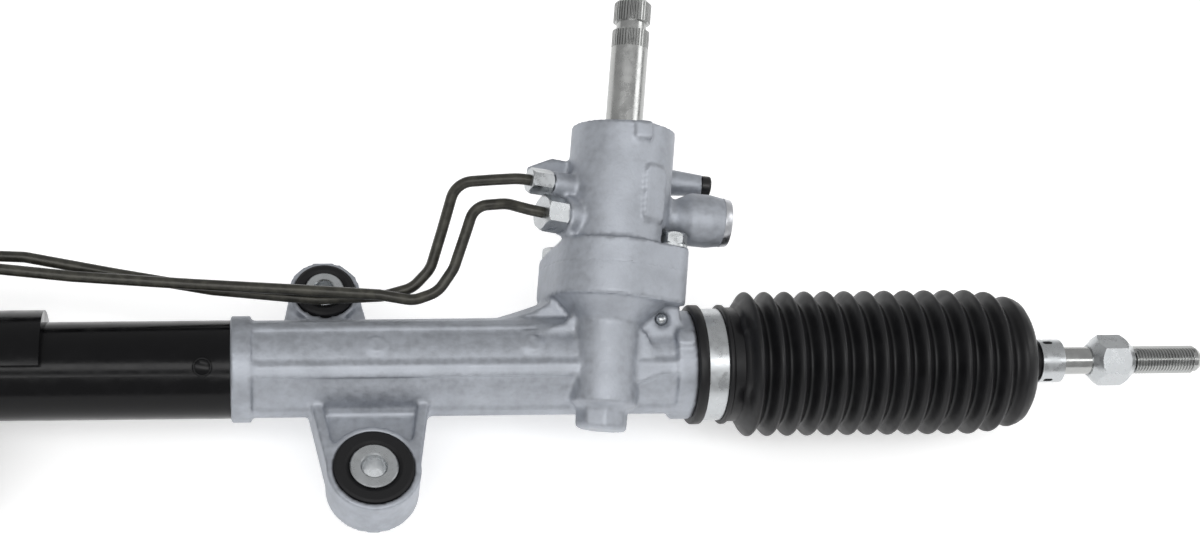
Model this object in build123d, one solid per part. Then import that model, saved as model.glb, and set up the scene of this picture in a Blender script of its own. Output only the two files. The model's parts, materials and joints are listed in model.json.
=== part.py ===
from build123d import *
import os
from math import acos, cos, pi, radians, sin, sqrt, tan

# Hydraulic power steering rack: cast gear and valve housings, a steel cylinder tube, bellows and inner tie
# rods. The rack bar runs along X with the pinion near its right-hand end, and the mounting bolts run along Z.
# Everything is placed about the point where the pinion crosses the rack bar's axis, and is moved at the end
# so that the origin is the middle of the front mounting bush.

# Fits and small clearances
seat_gap = 0.05
run_gap = 0.05
face_gap = 0.1

# Rack bar, its travel and its teeth
rack_radius = 12.0
rack_travel = 72.0
stop_clearance = 1.0
tooth_module = 2.0
pressure_angle = 25.0
pinion_teeth = 8
profile_shift = 0.3
rack_addendum = 1.8
rack_dedendum = 2.1
pinion_addendum = 2.2
tooth_backlash = 0.24
rack_gap_count = 29
rack_flat_height = 9.0
rack_end_bevel = 1.0

# Pinion shaft: the plane that it lies in rises from horizontal, and it leans towards the right-hand end
pinion_rise = 26.5
pinion_lean = 6.5
pinion_half_face = 15.0
lower_journal_radius = 6.5
neck_radius = 8.0
upper_journal_radius = 10.0
pinion_top_radius = 12.0
pinion_bore_radius = 5.0
pinion_bore_floor = 5.0

# Heights along the pinion shaft, measured from the rack bar's axis
tower_bottom = -33.5
pinion_bottom = -29.5
lower_bearing_height = 12.0
boss_shoulder = -20.5
tower_shoulder = 30.0
flange_seam = 46.0
upper_bearing_height = 12.0
bearing_nut_height = 5.0
bearing_nut_clearance = 3.0
pinion_top = 50.0
left_flange_thickness = 4.0
flange_thickness = 12.0
sleeve_top = 96.5
valve_bore_top = 98.0
shaft_bearing_low = 100.5
shaft_bearing_high = 108.5
shaft_seal_high = 114.0
valve_top = 116.5
spline_start = 159.0
clamp_groove_low = 168.0
clamp_groove_high = 172.5
shaft_top = 184.5

# Input shaft and torsion bar
input_radius = 9.2
input_bore_radius = 3.6
spline_teeth = 36
spline_depth = 0.75
clamp_groove_radius = 7.5
shaft_crown = 2.5
spool_radius = 10.0
spool_slots = 8
torsion_bar_radius = 2.8
torsion_head_length = 12.0
torsion_top = 150.0

# Gear housing
barrel_radius = 24.2
rib_radius = 25.8
rib_width = 7.6
rib_count = 6
rib_tilt = 35.0
barrel_left = -184.0
barrel_right = 34.0
left_collar_radius = 26.5
left_collar_length = 10.0
rack_bore = 16.0
ridge_radius = 16.6
bottom_boss_radius = 12.8
bottom_boss_sides = 8
bottom_boss_bevel = 1.5
flare_back = ((-62.0, 22.5), (-50.0, 24.6), (-40.0, 27.6), (-31.0, 30.6), (-25.0, 34.5), (-20.0, 40.0))
flare_front = ((-60.0, 21.0), (-50.0, 22.4), (-42.0, 23.4), (-35.0, 25.2), (-28.0, 28.9), (-19.5, 37.0))
flare_ledge = 2.0
flare_face = 12.0
gusset_foot = 6.0
gusset_back = -16.0
gusset_rise = 7.0
left_fairing = (
    (-44.0, 4.0),
    (-40.0, 15.5),
    (-28.5, 16.5),
    (-19.5, 19.6),
    (-15.0, 25.1),
    (-13.0, 29.0),
    (-4.0, 29.0),
    (-4.0, -12.0),
    (-30.0, -6.0),
)
left_fairing_face = 20.0
right_fairing = (
    (4.0, -14.0),
    (4.0, 18.5),
    (9.0, 17.6),
    (15.5, 16.0),
    (19.2, 12.6),
    (21.0, 7.6),
    (22.0, 0.0),
    (25.0, -8.0),
)
fairing_rise = 3.5
web_right = ((38.7, 35.0), (36.6, 29.6))
web_front = 21.5
end_pad_size = (9.0, 8.0)
end_pad_rise = 1.6
end_pad_turn = 23.0
tower_bore = 13.0
block_radius = 29.0
bolt_boss_radius = 8.2
right_bolt = (26.3, -11.0)
left_bolt = (-25.5, 21.0)
flange_bolt_radius = 4.0
flange_bolt_width = 12.5
flange_bolt_depth = 13.0
flange_bolt_head = 5.8
end_collar_radius = 27.0
end_sleeve_radius = 24.4
end_sleeve_bore = 21.0
end_sleeve_length = 18.0
mark_radius = 4.4
mark_height = 0.9
left_mark = -113.0
right_mark = -36.5
ball_plug_radius = 3.0
ball_plug_place = (27.5, 20.5)

# Rack guide, on the far side of the rack bar from the pinion
guide_radius = 15.0
guide_wall = 4.5
guide_front = 5.0
guide_back = 30.0
guide_spring_length = 7.0
guide_spring_radius = 6.5
guide_spring_wire = 1.1
guide_spring_turns = 2.5
guide_spring_pocket = 6.0
guide_boss_end = 45.0
guide_plug_end = 50.5
guide_plug_socket = 14.0
guide_nut_width = 37.0
guide_nut_length = 4.5

# Valve housing and its ports; each port is given by its depth behind the pinion shaft, its height, and the
# angle that it is turned towards the front
valve_radius = 25.5
valve_bore = 17.0
upper_seat_radius = 14.0
upper_pipe_port = (0.0, 84.0, 16.0)
upper_port_boss = 6.3
upper_port_reach = 37.0
upper_port_seat = 25.0
upper_port_thread = 4.6
upper_nut_width = 11.5
lower_pipe_port = (0.0, 68.3, 21.0)
lower_port_boss = 9.9
lower_port_reach = 30.6
lower_port_seat = 21.5
lower_port_thread = 6.1
lower_nut_width = 16.0
valve_nut_length = 11.5
return_port = (14.0, 96.0, 0.0)
return_root = 9.0
return_boss = 5.3
return_reach = 43.5
return_thread = 3.8
return_cap_length = 4.5
pressure_port = (0.0, 75.2, 0.0)
pressure_neck = 9.0
pressure_boss = 13.2
pressure_step = 35.5
pressure_shoulder = 8.0
pressure_reach = 55.0
pressure_taper = 10.0
pressure_end = 11.4
pressure_thread = 8.0
pressure_depth = 14.0
oil_hole = 2.2
ear_thickness = 5.0
ear_rise = 17.5
pad_size = (13.5, 6.0, 27.0)
pad_turn = 33.5
pad_height = 82.0
nub_size = (8.0, 5.0, 9.0)
nub_place = 6.0

# Mounting bushes, in X and Y from the pinion crossing; the bolts run along Z
bush_middle = -6.0
bush_sleeve_length = 28.0
boss_length = 24.5
front_bush = (-115.5, -59.7)
front_boss_radius = 22.8
front_rubber_radius = 19.3
front_sleeve_radius = 11.7
front_bolt_hole = 6.1
rear_bush = (-136.5, 42.9)
cylinder_rear_bush = (-326.0, 42.9)
cylinder_front_bush = (-326.0, -59.7)
rear_boss_radius = 18.3
rear_rubber_radius = 15.3
rear_sleeve_radius = 9.8
rear_bolt_hole = 5.1
lug_web_thickness = 8.0
lug_rib_thickness = 5.5
lug_web_drop = 7.0

# Cylinder tube, piston and rod guides
tube_radius = 24.5
tube_wall = 2.5
spigot_length = 20.0
tube_left = -535.0
insert_length = 20.0
rod_guide_length = 10.0
rod_guide_nose = 12.0
rod_seal_length = 8.0
end_seal_radius = 17.0
piston_place = -425.0
piston_length = 12.0
piston_ring_width = 4.0
piston_ring_depth = 2.0
port_clearance = 10.0
left_port_place = -508.0
port_rise = 35.0
port_boss_radius = 8.0
port_boss_top = 28.5
port_thread = 5.1
port_nut_width = 14.0
port_nut_length = 8.0
stake_place = -197.5
stake_radius = 5.0
stake_depth = 1.2

# Steel saddle bracket welded round the cylinder tube
saddle_thickness = 6.0
saddle_right = -276.0
saddle_length = 57.0
saddle_band = 27.0
saddle_front_angle = 116.5
saddle_back_angle = -105.0

# Bellows; both are alike and sit either side of the rack's middle
rack_middle = -248.0
bellows_start = 43.5
lip_length = 5.0
band_width = 10.0
lip_radius = 29.75
band_groove_radius = 27.0
band_thickness = 0.8
band_shoulder = 2.5
cuff_radius = 28.4
first_fold = 72.4
fold_pitch = 10.05
fold_count = 14
fold_peak = 36.0
fold_valley = 27.6
last_peak = 31.0
bellows_skin = 2.6
dome_radius = 18.0
neck_start = 217.5
neck_length = 12.5
bellows_neck_radius = 9.6
neck_clamp_length = 11.0
neck_clamp_thickness = 1.1

# Inner tie rods and their ball joints
ball_radius = 14.5
ball_seat_thickness = 2.0
ball_seat_front = 9.0
socket_radius = 20.0
socket_back = 25.0
socket_front = 13.5
socket_flat = 18.0
socket_stud_radius = 7.0
socket_stud_length = 18.0
washer_thickness = 1.5
washer_radius = 15.0
opening_clearance = 0.7
opening_flare = 5.0
swing_vertical = 18.0
swing_level = 8.0
rod_neck_radius = 5.5
rod_neck_length = 22.0
rod_taper_length = 10.0
rod_radius = 6.85
thread_radius = 7.0
rod_end = 300.0
lock_nut_place = 245.0
lock_nut_length = 21.0
lock_nut_width = 22.0
lock_nut_bevel = 5.0

# Steel pipes between the valve and the cylinder
pipe_radius = 2.75
pipe_wall = 0.7
pipe_bend = 14.0

# Directions and frames
lean = radians(pinion_lean)
rise = radians(pinion_rise)
along = Vector(1, 0, 0)
tower_front = Vector(0, -sin(rise), cos(rise))
tower_up = Vector(0, cos(rise), sin(rise))
shaft_up = along * sin(lean) + tower_up * cos(lean)
shaft_side = along * cos(lean) - tower_up * sin(lean)
port_up = Vector(0, cos(radians(port_rise)), sin(radians(port_rise)))
port_front = Vector(0, -sin(radians(port_rise)), cos(radians(port_rise)))

pinion_pitch_radius = tooth_module * pinion_teeth / 2
pitch_line_height = rack_flat_height - rack_addendum
centre_distance = pitch_line_height + pinion_pitch_radius + profile_shift * tooth_module
pinion_tip_radius = pinion_pitch_radius + pinion_addendum
pinion_root_radius = centre_distance - rack_flat_height - 0.5

rack_frame = Plane(origin=(0, 0, 0), x_dir=(0, 1, 0), z_dir=(1, 0, 0))
gear_frame = Plane(origin=(0, 0, 0), x_dir=(1, 0, 0), z_dir=tower_front)
guide_frame = Plane(origin=(0, 0, 0), x_dir=(1, 0, 0), z_dir=tower_front * -1)
pipe_frame = Plane(origin=(0, 0, 0), x_dir=(1, 0, 0), z_dir=port_front)
pinion_frame = Plane(origin=tower_front * centre_distance, x_dir=shaft_side, z_dir=shaft_up)
side_plane = Plane(origin=pinion_frame.origin, x_dir=shaft_side, z_dir=tower_front)
flange_top = flange_seam + flange_thickness
bolt_seats = ((right_bolt, flange_top), (left_bolt, flange_seam + left_flange_thickness))
mirror_plane = Plane(origin=(rack_middle, 0, 0), z_dir=(1, 0, 0))
origin_shift = Pos(-front_bush[0], -front_bush[1], -bush_middle)

# Sizes that follow from the ones above
lower_bearing_outer = lower_journal_radius + 3.5
upper_bearing_outer = upper_journal_radius + 10.0
upper_bearing_high = flange_seam - bearing_nut_height - bearing_nut_clearance
upper_bearing_low = upper_bearing_high - upper_bearing_height
tube_bore = tube_radius - tube_wall
rod_guide_face = barrel_left - spigot_length
end_cap_face = 2 * rack_middle - bellows_start
ball_back = bellows_start + rack_travel + stop_clearance + washer_thickness
ball_place = ball_back + socket_back
ball_seat_inner = ball_radius + run_gap
ball_seat_outer = ball_seat_inner + ball_seat_thickness
socket_cavity = ball_seat_outer + run_gap
bush_top = bush_middle + boss_length / 2
bush_bottom = bush_middle - boss_length / 2
band_start = bellows_start + lip_length
right_port_place = saddle_right - saddle_length - port_clearance
neck_end = neck_start + neck_length
thread_start = lock_nut_place + lock_nut_length
piston_ring_inner = tube_bore - piston_ring_depth
ball_frame = Plane(origin=(ball_place, 0, 0), x_dir=(0, 1, 0), z_dir=(1, 0, 0))


# Shapes that are used again and again


def turned(profile, frame):
    """A solid of revolution about the frame's Z axis, from (radius, height) points."""
    outline = Polyline(*[(radius, 0, height) for radius, height in profile], close=True)
    return frame * revolve(make_face(outline), Axis.Z, 360)


def disc(radius, low, high, frame):
    """A plain cylinder between two heights on the frame's Z axis."""
    body = Cylinder(radius, high - low, align=(Align.CENTER, Align.CENTER, Align.MIN))
    return frame * (Pos(0, 0, low) * body)


def ring(inner, outer, low, high, frame):
    """A cylinder with a bore right through it."""
    return turned([(inner, low), (outer, low), (outer, high), (inner, high)], frame)


def hexagon(width, low, high, frame, bevel=1.0):
    """A hexagonal prism, width measured across its flats, with both ends bevelled as nuts are."""
    corner = width / 2 / cos(pi / 6)
    prism = extrude(RegularPolygon(corner, 6), high - low)
    tight = corner - bevel
    top = high - low
    crown = [(0, 0), (tight, 0), (corner, bevel), (corner, top - bevel), (tight, top), (0, top)]
    return frame * (Pos(0, 0, low) * (prism & turned(crown, Plane.XY)))


def plate(outline, low, high, frame):
    """A flat plate with a straight-sided outline, between two heights on the frame's Z axis."""
    face = make_face(Polyline(*outline, close=True))
    return frame * (Pos(0, 0, low) * extrude(face, high - low, dir=(0, 0, 1)))


def flange(low, high):
    """The flange of either housing, drawn tight round the shaft and its two bolts."""
    loops = Circle(block_radius).edges()
    for place in (right_bolt, left_bolt):
        loops += (Pos(*place) * Circle(bolt_boss_radius)).edges()
    return pinion_frame * (Pos(0, 0, low) * extrude(make_hull(loops), high - low, dir=(0, 0, 1)))


def side_frame(port, direction):
    """A frame whose Z axis leaves the pinion shaft sideways through a port; -1 is the left side."""
    depth, height, turn = port
    origin = pinion_frame.from_local_coords(Vector(0, depth, height))
    outward = shaft_side * direction * cos(radians(turn)) + tower_front * sin(radians(turn))
    return Plane(origin=origin, x_dir=shaft_up, z_dir=outward)


def bolt_frame(place):
    """A frame on one of the two flange bolts, heights still measured along the pinion shaft."""
    origin = pinion_frame.from_local_coords(Vector(*place, 0))
    return Plane(origin=origin, x_dir=shaft_side, z_dir=shaft_up)


def upright(place):
    """A frame at a mounting bush, its Z axis along the bolt."""
    return Plane(origin=(place[0], place[1], 0), x_dir=(1, 0, 0), z_dir=(0, 0, 1))


def cylinder_port_frame(place):
    """A frame whose Z axis leaves the cylinder tube through an oil port."""
    return Plane(origin=(place, 0, 0), x_dir=(1, 0, 0), z_dir=port_up)


def mirrored(shape):
    """The same piece at the other end of the rack."""
    return mirror(shape, about=mirror_plane)


# Gear housing


def barrel():
    """The round body on the rack bar, with collars at its ends, lengthwise ribs and a spigot for the tube."""
    end = bellows_start
    body = disc(barrel_radius, barrel_left, end, rack_frame)
    body += disc(left_collar_radius, barrel_left, barrel_left + left_collar_length, rack_frame)
    body += disc(end_collar_radius, barrel_right, end, rack_frame)
    body += disc(end_sleeve_radius, barrel_right, end + end_sleeve_length, rack_frame)
    body += disc(tube_bore - seat_gap, rod_guide_face, barrel_left + 1, rack_frame)
    rib = Box(rib_radius, rib_width, end - barrel_left, align=(Align.MIN, Align.CENTER, Align.MIN))
    rib = fillet(rib.edges().filter_by(Axis.Z).group_by(Axis.X)[-1], rib_width / 5)
    for number in range(rib_count):
        turn = 90 + rib_tilt + number * 360 / rib_count
        body += rack_frame * (Rot(0, 0, turn) * (Pos(0, 0, barrel_left) * rib))
    return body


def moulding_marks():
    """Round ejector marks on the upper front of the barrel."""
    marks = []
    for place in (left_mark, right_mark):
        frame = Plane(origin=(place, 0, 0), x_dir=(1, 0, 0), z_dir=(0, -sin(radians(5)), cos(radians(5))))
        marks.append(disc(mark_radius, barrel_radius - 2, barrel_radius + mark_height, frame))
    return marks


def front_lug():
    """The front lug: a boss for the bush, a thin web, and a rib down each side."""
    x, y = front_bush
    root = -barrel_radius * 0.65
    left_root, right_root = x - front_boss_radius - 8, x + front_boss_radius + 7
    left_side, right_side = x - front_boss_radius + 0.4, x + front_boss_radius - 0.4
    web_top = bush_top - lug_web_drop
    web = [(left_root, root), (left_side, y), (right_side, y), (right_root, root)]
    lug = plate(web, web_top - lug_web_thickness, web_top, Plane.XY)
    lug += disc(front_boss_radius, bush_bottom, bush_top, upright(front_bush))
    for wide, narrow, inward in ((left_root, left_side, 1), (right_root, right_side, -1)):
        step = inward * lug_rib_thickness
        rib = [(wide, root), (narrow, y), (narrow + step, y), (wide + step, root)]
        lug += plate(rib, bush_bottom, bush_top, Plane.XY)
    return lug


def plain_lug(place, root):
    """A lug for one of the smaller bushes: a boss and a tapering web that reaches the body at root."""
    x, y = place
    half = rear_boss_radius
    web = [(x - half - 5, root), (x - half + 0.4, y), (x + half - 0.4, y), (x + half + 5, root)]
    lug = plate(web, bush_bottom + 4, bush_top - 5, Plane.XY)
    return lug + disc(half, bush_bottom, bush_top - 1, upright(place))


def tower():
    """The lower tower round the pinion, up to the joint with the valve housing."""
    body = disc(ridge_radius, boss_shoulder, tower_shoulder + 1, pinion_frame)
    body += flange(tower_shoulder, flange_seam)
    flare = [
        (0, tower_shoulder - 11),
        (ridge_radius - 0.5, tower_shoulder - 11),
        (block_radius - 2, tower_shoulder),
        (0, tower_shoulder),
    ]
    shoulder = [
        (0, boss_shoulder - 3),
        (bottom_boss_radius - 0.5, boss_shoulder - 3),
        (ridge_radius, boss_shoulder),
        (0, boss_shoulder),
    ]
    outline = Rot(0, 0, -90) * RegularPolygon(bottom_boss_radius, bottom_boss_sides)
    boss = Pos(0, 0, tower_bottom) * extrude(outline, boss_shoulder - tower_bottom)
    boss = chamfer(boss.faces().sort_by(Axis.Z)[0].edges(), bottom_boss_bevel)
    return body + turned(flare, pinion_frame) + turned(shoulder, pinion_frame) + pinion_frame * boss


def gussets():
    """Cast webs that carry the tower on the barrel, left and right of the pinion."""
    foot = gusset_foot
    top = tower_shoulder + gusset_rise
    back_left = [(flare_back[0][0], foot), *flare_back, (-foot, top), (-foot, foot)]
    front_left = [(flare_front[0][0], foot), *flare_front, (-foot, top), (-foot, foot)]
    right = [(foot, foot), (foot, top), *web_right, (web_right[-1][0], foot)]
    webs = plate(back_left, gusset_back, flare_ledge, gear_frame)
    webs += plate(right, gusset_back, web_front, gear_frame)
    slope = []
    for outline, level in ((back_left, flare_ledge), (front_left, flare_face)):
        slope.append(gear_frame * (Pos(0, 0, level) * make_face(Polyline(*outline, close=True))))
    webs += loft(slope, ruled=True)
    webs += plate(left_fairing, foot, left_fairing_face, gear_frame)
    return webs + plate(right_fairing, foot, web_front + fairing_rise, gear_frame)


def end_pad():
    """A small raised pad on the front of the right-hand collar."""
    width, height = end_pad_size
    reach = end_collar_radius + end_pad_rise
    pad = Box(reach, height, width, align=(Align.MIN, Align.CENTER, Align.MAX))
    pad = fillet(pad.edges().filter_by(Axis.X), height / 4)
    return rack_frame * (Rot(0, 0, 90 + pinion_rise - end_pad_turn) * (Pos(0, 0, bellows_start - 1) * pad))


def ball_plug_frame():
    """Where a steel ball is pressed into the drilled gallery, right of the tower."""
    origin = gear_frame.from_local_coords(Vector(*ball_plug_place, web_front - ball_plug_radius))
    return Plane(origin=origin, x_dir=(1, 0, 0), z_dir=tower_front)


def gear_housing():
    """The aluminium casting that carries the rack bar and the pinion."""
    body = barrel() + moulding_marks() + tower() + gussets() + end_pad() + front_lug()
    body += plain_lug(rear_bush, barrel_radius * 0.65)
    body += disc(guide_radius + guide_wall, 0, guide_boss_end, guide_frame)
    body -= disc(rack_bore, rod_guide_face - 1, bellows_start + 1, rack_frame)
    body -= disc(end_sleeve_bore, bellows_start, bellows_start + end_sleeve_length + 1, rack_frame)
    body -= disc(tower_bore, -pinion_half_face - 3, flange_seam + 1, pinion_frame)
    body -= disc(lower_bearing_outer + seat_gap, pinion_bottom - 1, 0, pinion_frame)
    body -= disc(upper_bearing_outer + seat_gap, upper_bearing_low, flange_seam + 1, pinion_frame)
    seal_inner = upper_bearing_outer + 1.5
    body -= ring(seal_inner, seal_inner + 2, flange_seam - 1.2, flange_seam + 1, pinion_frame)
    body -= disc(guide_radius + seat_gap, 0, guide_boss_end + 1, guide_frame)
    body -= disc(front_rubber_radius + seat_gap, bush_bottom - 1, bush_top + 1, upright(front_bush))
    body -= disc(rear_rubber_radius + seat_gap, bush_bottom - 1, bush_top + 1, upright(rear_bush))
    for place in (right_bolt, left_bolt):
        hole_end = flange_seam - flange_bolt_depth
        body -= disc(flange_bolt_radius + seat_gap, hole_end, flange_seam + 1, bolt_frame(place))
    body -= disc(ball_plug_radius + seat_gap, -4, 8, ball_plug_frame())
    body -= disc(ball_plug_radius + 1.4, 1.5, 8, ball_plug_frame())
    return body


def rack_guide():
    """The half-round yoke that presses the rack bar against the pinion."""
    body = disc(guide_radius - seat_gap, guide_front, guide_back, guide_frame)
    body -= disc(rack_radius + run_gap, -guide_radius - 2, guide_radius + 2, rack_frame)
    pocket = guide_back - guide_spring_pocket
    return body - disc(guide_spring_radius + guide_spring_wire + 1, pocket, guide_back + 1, guide_frame)


def rack_guide_spring():
    """The coil spring behind the yoke."""
    length = guide_spring_pocket + guide_spring_length - 2 * guide_spring_wire
    path = Helix(length / guide_spring_turns, length, guide_spring_radius)
    section = Plane(origin=path @ 0, z_dir=path % 0) * Circle(guide_spring_wire)
    coil = sweep(section, path)
    return guide_frame * (Pos(0, 0, guide_back - guide_spring_pocket + guide_spring_wire) * coil)


def rack_guide_plug():
    """The threaded plug that sets the yoke, with a hexagon socket."""
    start = guide_back + guide_spring_length
    body = disc(guide_radius - seat_gap, start, guide_plug_end, guide_frame)
    return body - hexagon(guide_plug_socket, guide_plug_end - 6, guide_plug_end + 3, guide_frame)


def rack_guide_lock_nut():
    """The thin nut that locks the plug."""
    nut = hexagon(guide_nut_width, guide_boss_end, guide_boss_end + guide_nut_length, guide_frame)
    return nut - disc(guide_radius, guide_boss_end - 1, guide_plug_end + 1, guide_frame)


# Valve housing


def upper_port_ear():
    """The cast ear that shields the upper pipe nut."""
    root, corner, outer = 19, upper_port_reach - 3, upper_port_reach + valve_nut_length - 3
    low = upper_pipe_port[1] - 3
    top = low + ear_rise
    behind = upper_pipe_port[0] + upper_nut_width / 2 / cos(pi / 6) + 0.5
    ear = [(-root, low), (-root, top), (-corner, top), (-outer, top - ear_rise / 3), (-outer, low)]
    port = side_frame(upper_pipe_port, -1)
    port_plane = Plane(origin=pinion_frame.origin, x_dir=port.z_dir * -1, z_dir=shaft_up.cross(port.z_dir))
    return plate(ear, -behind - ear_thickness, -behind, port_plane)


def nameplate_pad():
    """A blank raised pad on the front right of the valve housing."""
    pad = fillet(Box(*pad_size).edges().filter_by(Axis.Y), 2.4)
    return pinion_frame * (Rot(0, 0, pad_turn) * (Pos(0, -valve_radius + 1.9, pad_height) * pad))


def ear_slope():
    """What is taken off the flange's left ear, so that it slopes down beside the valve body."""
    run = 14
    top = flange_top + 1
    return plate([(-valve_radius, top), (-valve_radius - run, top), (-valve_radius - run, top - run)], -60, 60,
                 side_plane)


def valve_housing():
    """The aluminium casting round the rotary valve, with four ports."""
    upper, lower = side_frame(upper_pipe_port, -1), side_frame(lower_pipe_port, -1)
    out, feed = side_frame(return_port, 1), side_frame(pressure_port, 1)
    body = disc(valve_radius, flange_seam + face_gap, valve_top, pinion_frame)
    body += flange(flange_seam + face_gap, flange_top)
    body += disc(upper_port_boss, 0, upper_port_reach, upper)
    body += disc(lower_port_boss, 0, lower_port_reach, lower)
    body += turned([(0, 0), (return_root, 0), (return_boss, return_reach), (0, return_reach)], out)
    taper = pressure_reach - pressure_taper
    boss = [
        (0, 0),
        (pressure_neck, 0),
        (pressure_neck, pressure_step - pressure_shoulder),
        (pressure_boss, pressure_step),
        (pressure_boss, taper),
        (pressure_end, pressure_reach),
        (0, pressure_reach),
    ]
    body += turned(boss, feed) + upper_port_ear() + nameplate_pad()
    nub_height = valve_top - nub_size[2] / 2 + face_gap
    body += pinion_frame * (Pos(nub_place, -valve_radius + 0.8, nub_height) * Box(*nub_size))
    body -= ear_slope()
    body -= disc(valve_bore, flange_seam - 1, valve_bore_top, pinion_frame)
    body -= disc(upper_seat_radius + seat_gap, valve_bore_top - 1, valve_top + 2, pinion_frame)
    body -= disc(upper_port_thread + seat_gap, upper_port_seat, upper_port_reach + 1, upper)
    body -= disc(lower_port_thread + seat_gap, lower_port_seat, lower_port_reach + 1, lower)
    body -= disc(return_thread + seat_gap, return_reach - 12, return_reach + 1, out)
    body -= disc(pressure_thread, pressure_reach - pressure_depth, pressure_reach + 1, feed)
    mouth, start = pressure_thread + 1.6, pressure_reach - 2
    body -= turned([(0, start), (pressure_thread, start), (mouth, start + 2), (0, start + 2)], feed)
    for frame in (upper, lower, out, feed):
        body -= disc(oil_hole, valve_bore / 2, return_reach, frame)
    for place, seat in bolt_seats:
        frame = bolt_frame(place)
        body -= disc(flange_bolt_radius + 0.3, flange_seam - 1, seat + 1, frame)
        body -= disc(flange_bolt_width / 2 + 1.4, seat, seat + flange_bolt_head + 3, frame)
    return body


def flange_bolts():
    """The two flanged hex bolts that hold the valve housing down."""
    bolts = []
    for place, seat in bolt_seats:
        frame = bolt_frame(place)
        shank_end = flange_seam - flange_bolt_depth + 1
        bolt = disc(flange_bolt_radius, shank_end, seat + 1, frame)
        bolt += disc(flange_bolt_width / 2 + 1.0, seat, seat + 1.4, frame)
        head_top = seat + flange_bolt_head + 1.4
        bolts.append(bolt + hexagon(flange_bolt_width, seat + 1.2, head_top, frame))
    return Part() + bolts


def pipe_nut(width, thread, seat, face, length, frame):
    """A tube nut: a threaded nose in its port and a hexagon outside, with the pipe's hole."""
    nut = disc(thread, seat, face + 0.5, frame) + hexagon(width, face, face + length, frame)
    return nut - disc(pipe_radius + seat_gap, seat - 1, face + length + 1, frame)


def return_port_plug():
    """The black transport plug in the return port."""
    frame = side_frame(return_port, 1)
    body = disc(return_thread, return_reach - 11, return_reach + 0.5, frame)
    body += disc(return_boss - 0.2, return_reach, return_reach + return_cap_length, frame)
    return fillet(body.edges().group_by(Axis(frame.origin, frame.z_dir))[-1], 1.2)


# Pinion and rotary valve


def flank_point(radius, base_radius, half_angle):
    """A point on an involute flank, half_angle being half the tooth's thickness at the base circle."""
    roll = sqrt(max((radius / base_radius) ** 2 - 1, 0)) - acos(min(base_radius / radius, 1))
    angle = half_angle - roll
    return radius * sin(angle), radius * cos(angle)


def pinion_outline():
    """The outline of the pinion's teeth, with one tooth pointing along local Y."""
    alpha = radians(pressure_angle)
    base_radius = pinion_pitch_radius * cos(alpha)
    thickness = tooth_module * (pi / 2 + 2 * profile_shift * tan(alpha))
    half_angle = thickness / 2 / pinion_pitch_radius + tan(alpha) - alpha
    steps = 7
    radii = [base_radius + (pinion_tip_radius - base_radius) * n / steps for n in range(steps + 1)]
    right = [(pinion_root_radius * sin(half_angle), pinion_root_radius * cos(half_angle))]
    right += [flank_point(radius, base_radius, half_angle) for radius in radii]
    tooth = [(-x, y) for x, y in right] + right[::-1]
    points = []
    for number in range(pinion_teeth):
        turn = -2 * pi * number / pinion_teeth
        points += [(x * cos(turn) - y * sin(turn), x * sin(turn) + y * cos(turn)) for x, y in tooth]
    return points


def pinion():
    """The pinion shaft: lower journal, teeth, neck, upper journal and the seat for the valve sleeve."""
    lower_end = -pinion_half_face - 1
    body = plate(pinion_outline(), -pinion_half_face, pinion_half_face + 1, pinion_frame)
    body += disc(lower_journal_radius, pinion_bottom, lower_end, pinion_frame)
    body += disc(pinion_root_radius, lower_end - 0.5, -pinion_half_face + 0.5, pinion_frame)
    body += disc(neck_radius, pinion_half_face + 1, upper_bearing_low - 2, pinion_frame)
    body += disc(upper_journal_radius, upper_bearing_low - 2, upper_bearing_high + 2, pinion_frame)
    body += disc(pinion_top_radius, upper_bearing_high + 2, pinion_top, pinion_frame)
    return body - disc(pinion_bore_radius + seat_gap, pinion_bore_floor, pinion_top + 1, pinion_frame)


def lower_bearing():
    """The plain bearing at the pinion's lower end."""
    low, high = pinion_bottom, pinion_bottom + lower_bearing_height
    return ring(lower_journal_radius + run_gap, lower_bearing_outer, low, high, pinion_frame)


def upper_bearing():
    """The ball bearing at the pinion's upper journal, with its grooves between the rings."""
    low, high = upper_bearing_low, upper_bearing_high
    body = ring(upper_journal_radius + run_gap, upper_bearing_outer, low, high, pinion_frame)
    inner, outer = upper_journal_radius + 3.2, upper_bearing_outer - 3.0
    for start, end in ((low - 1, low + 1.2), (high - 1.2, high + 1)):
        body -= ring(inner, outer, start, end, pinion_frame)
    return body


def bearing_nut():
    """The threaded ring that holds the upper bearing in its seat."""
    inner = pinion_top_radius + 1.0
    low = upper_bearing_high
    top = low + bearing_nut_height
    body = ring(inner, upper_bearing_outer, low, top, pinion_frame)
    for number in range(4):
        slot = Pos(inner + 1, 0, top) * Box(5, 4, 4)
        body -= pinion_frame * (Rot(0, 0, 45 + number * 90) * slot)
    return body


def housing_seal():
    """The square-section ring in the joint between the two housings."""
    inner, outer = upper_bearing_outer + 1.5 + seat_gap, upper_bearing_outer + 3.5 - seat_gap
    return ring(inner, outer, flange_seam - 1.2, flange_seam + face_gap, pinion_frame)


def valve_ring_heights():
    """The middles of the four sealing rings on the valve sleeve."""
    low, high = lower_pipe_port[1] - 8, sleeve_top - 12
    middle = (pressure_port[1] + upper_pipe_port[1]) / 2
    return (low - 6, low, middle, high + 6)


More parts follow.
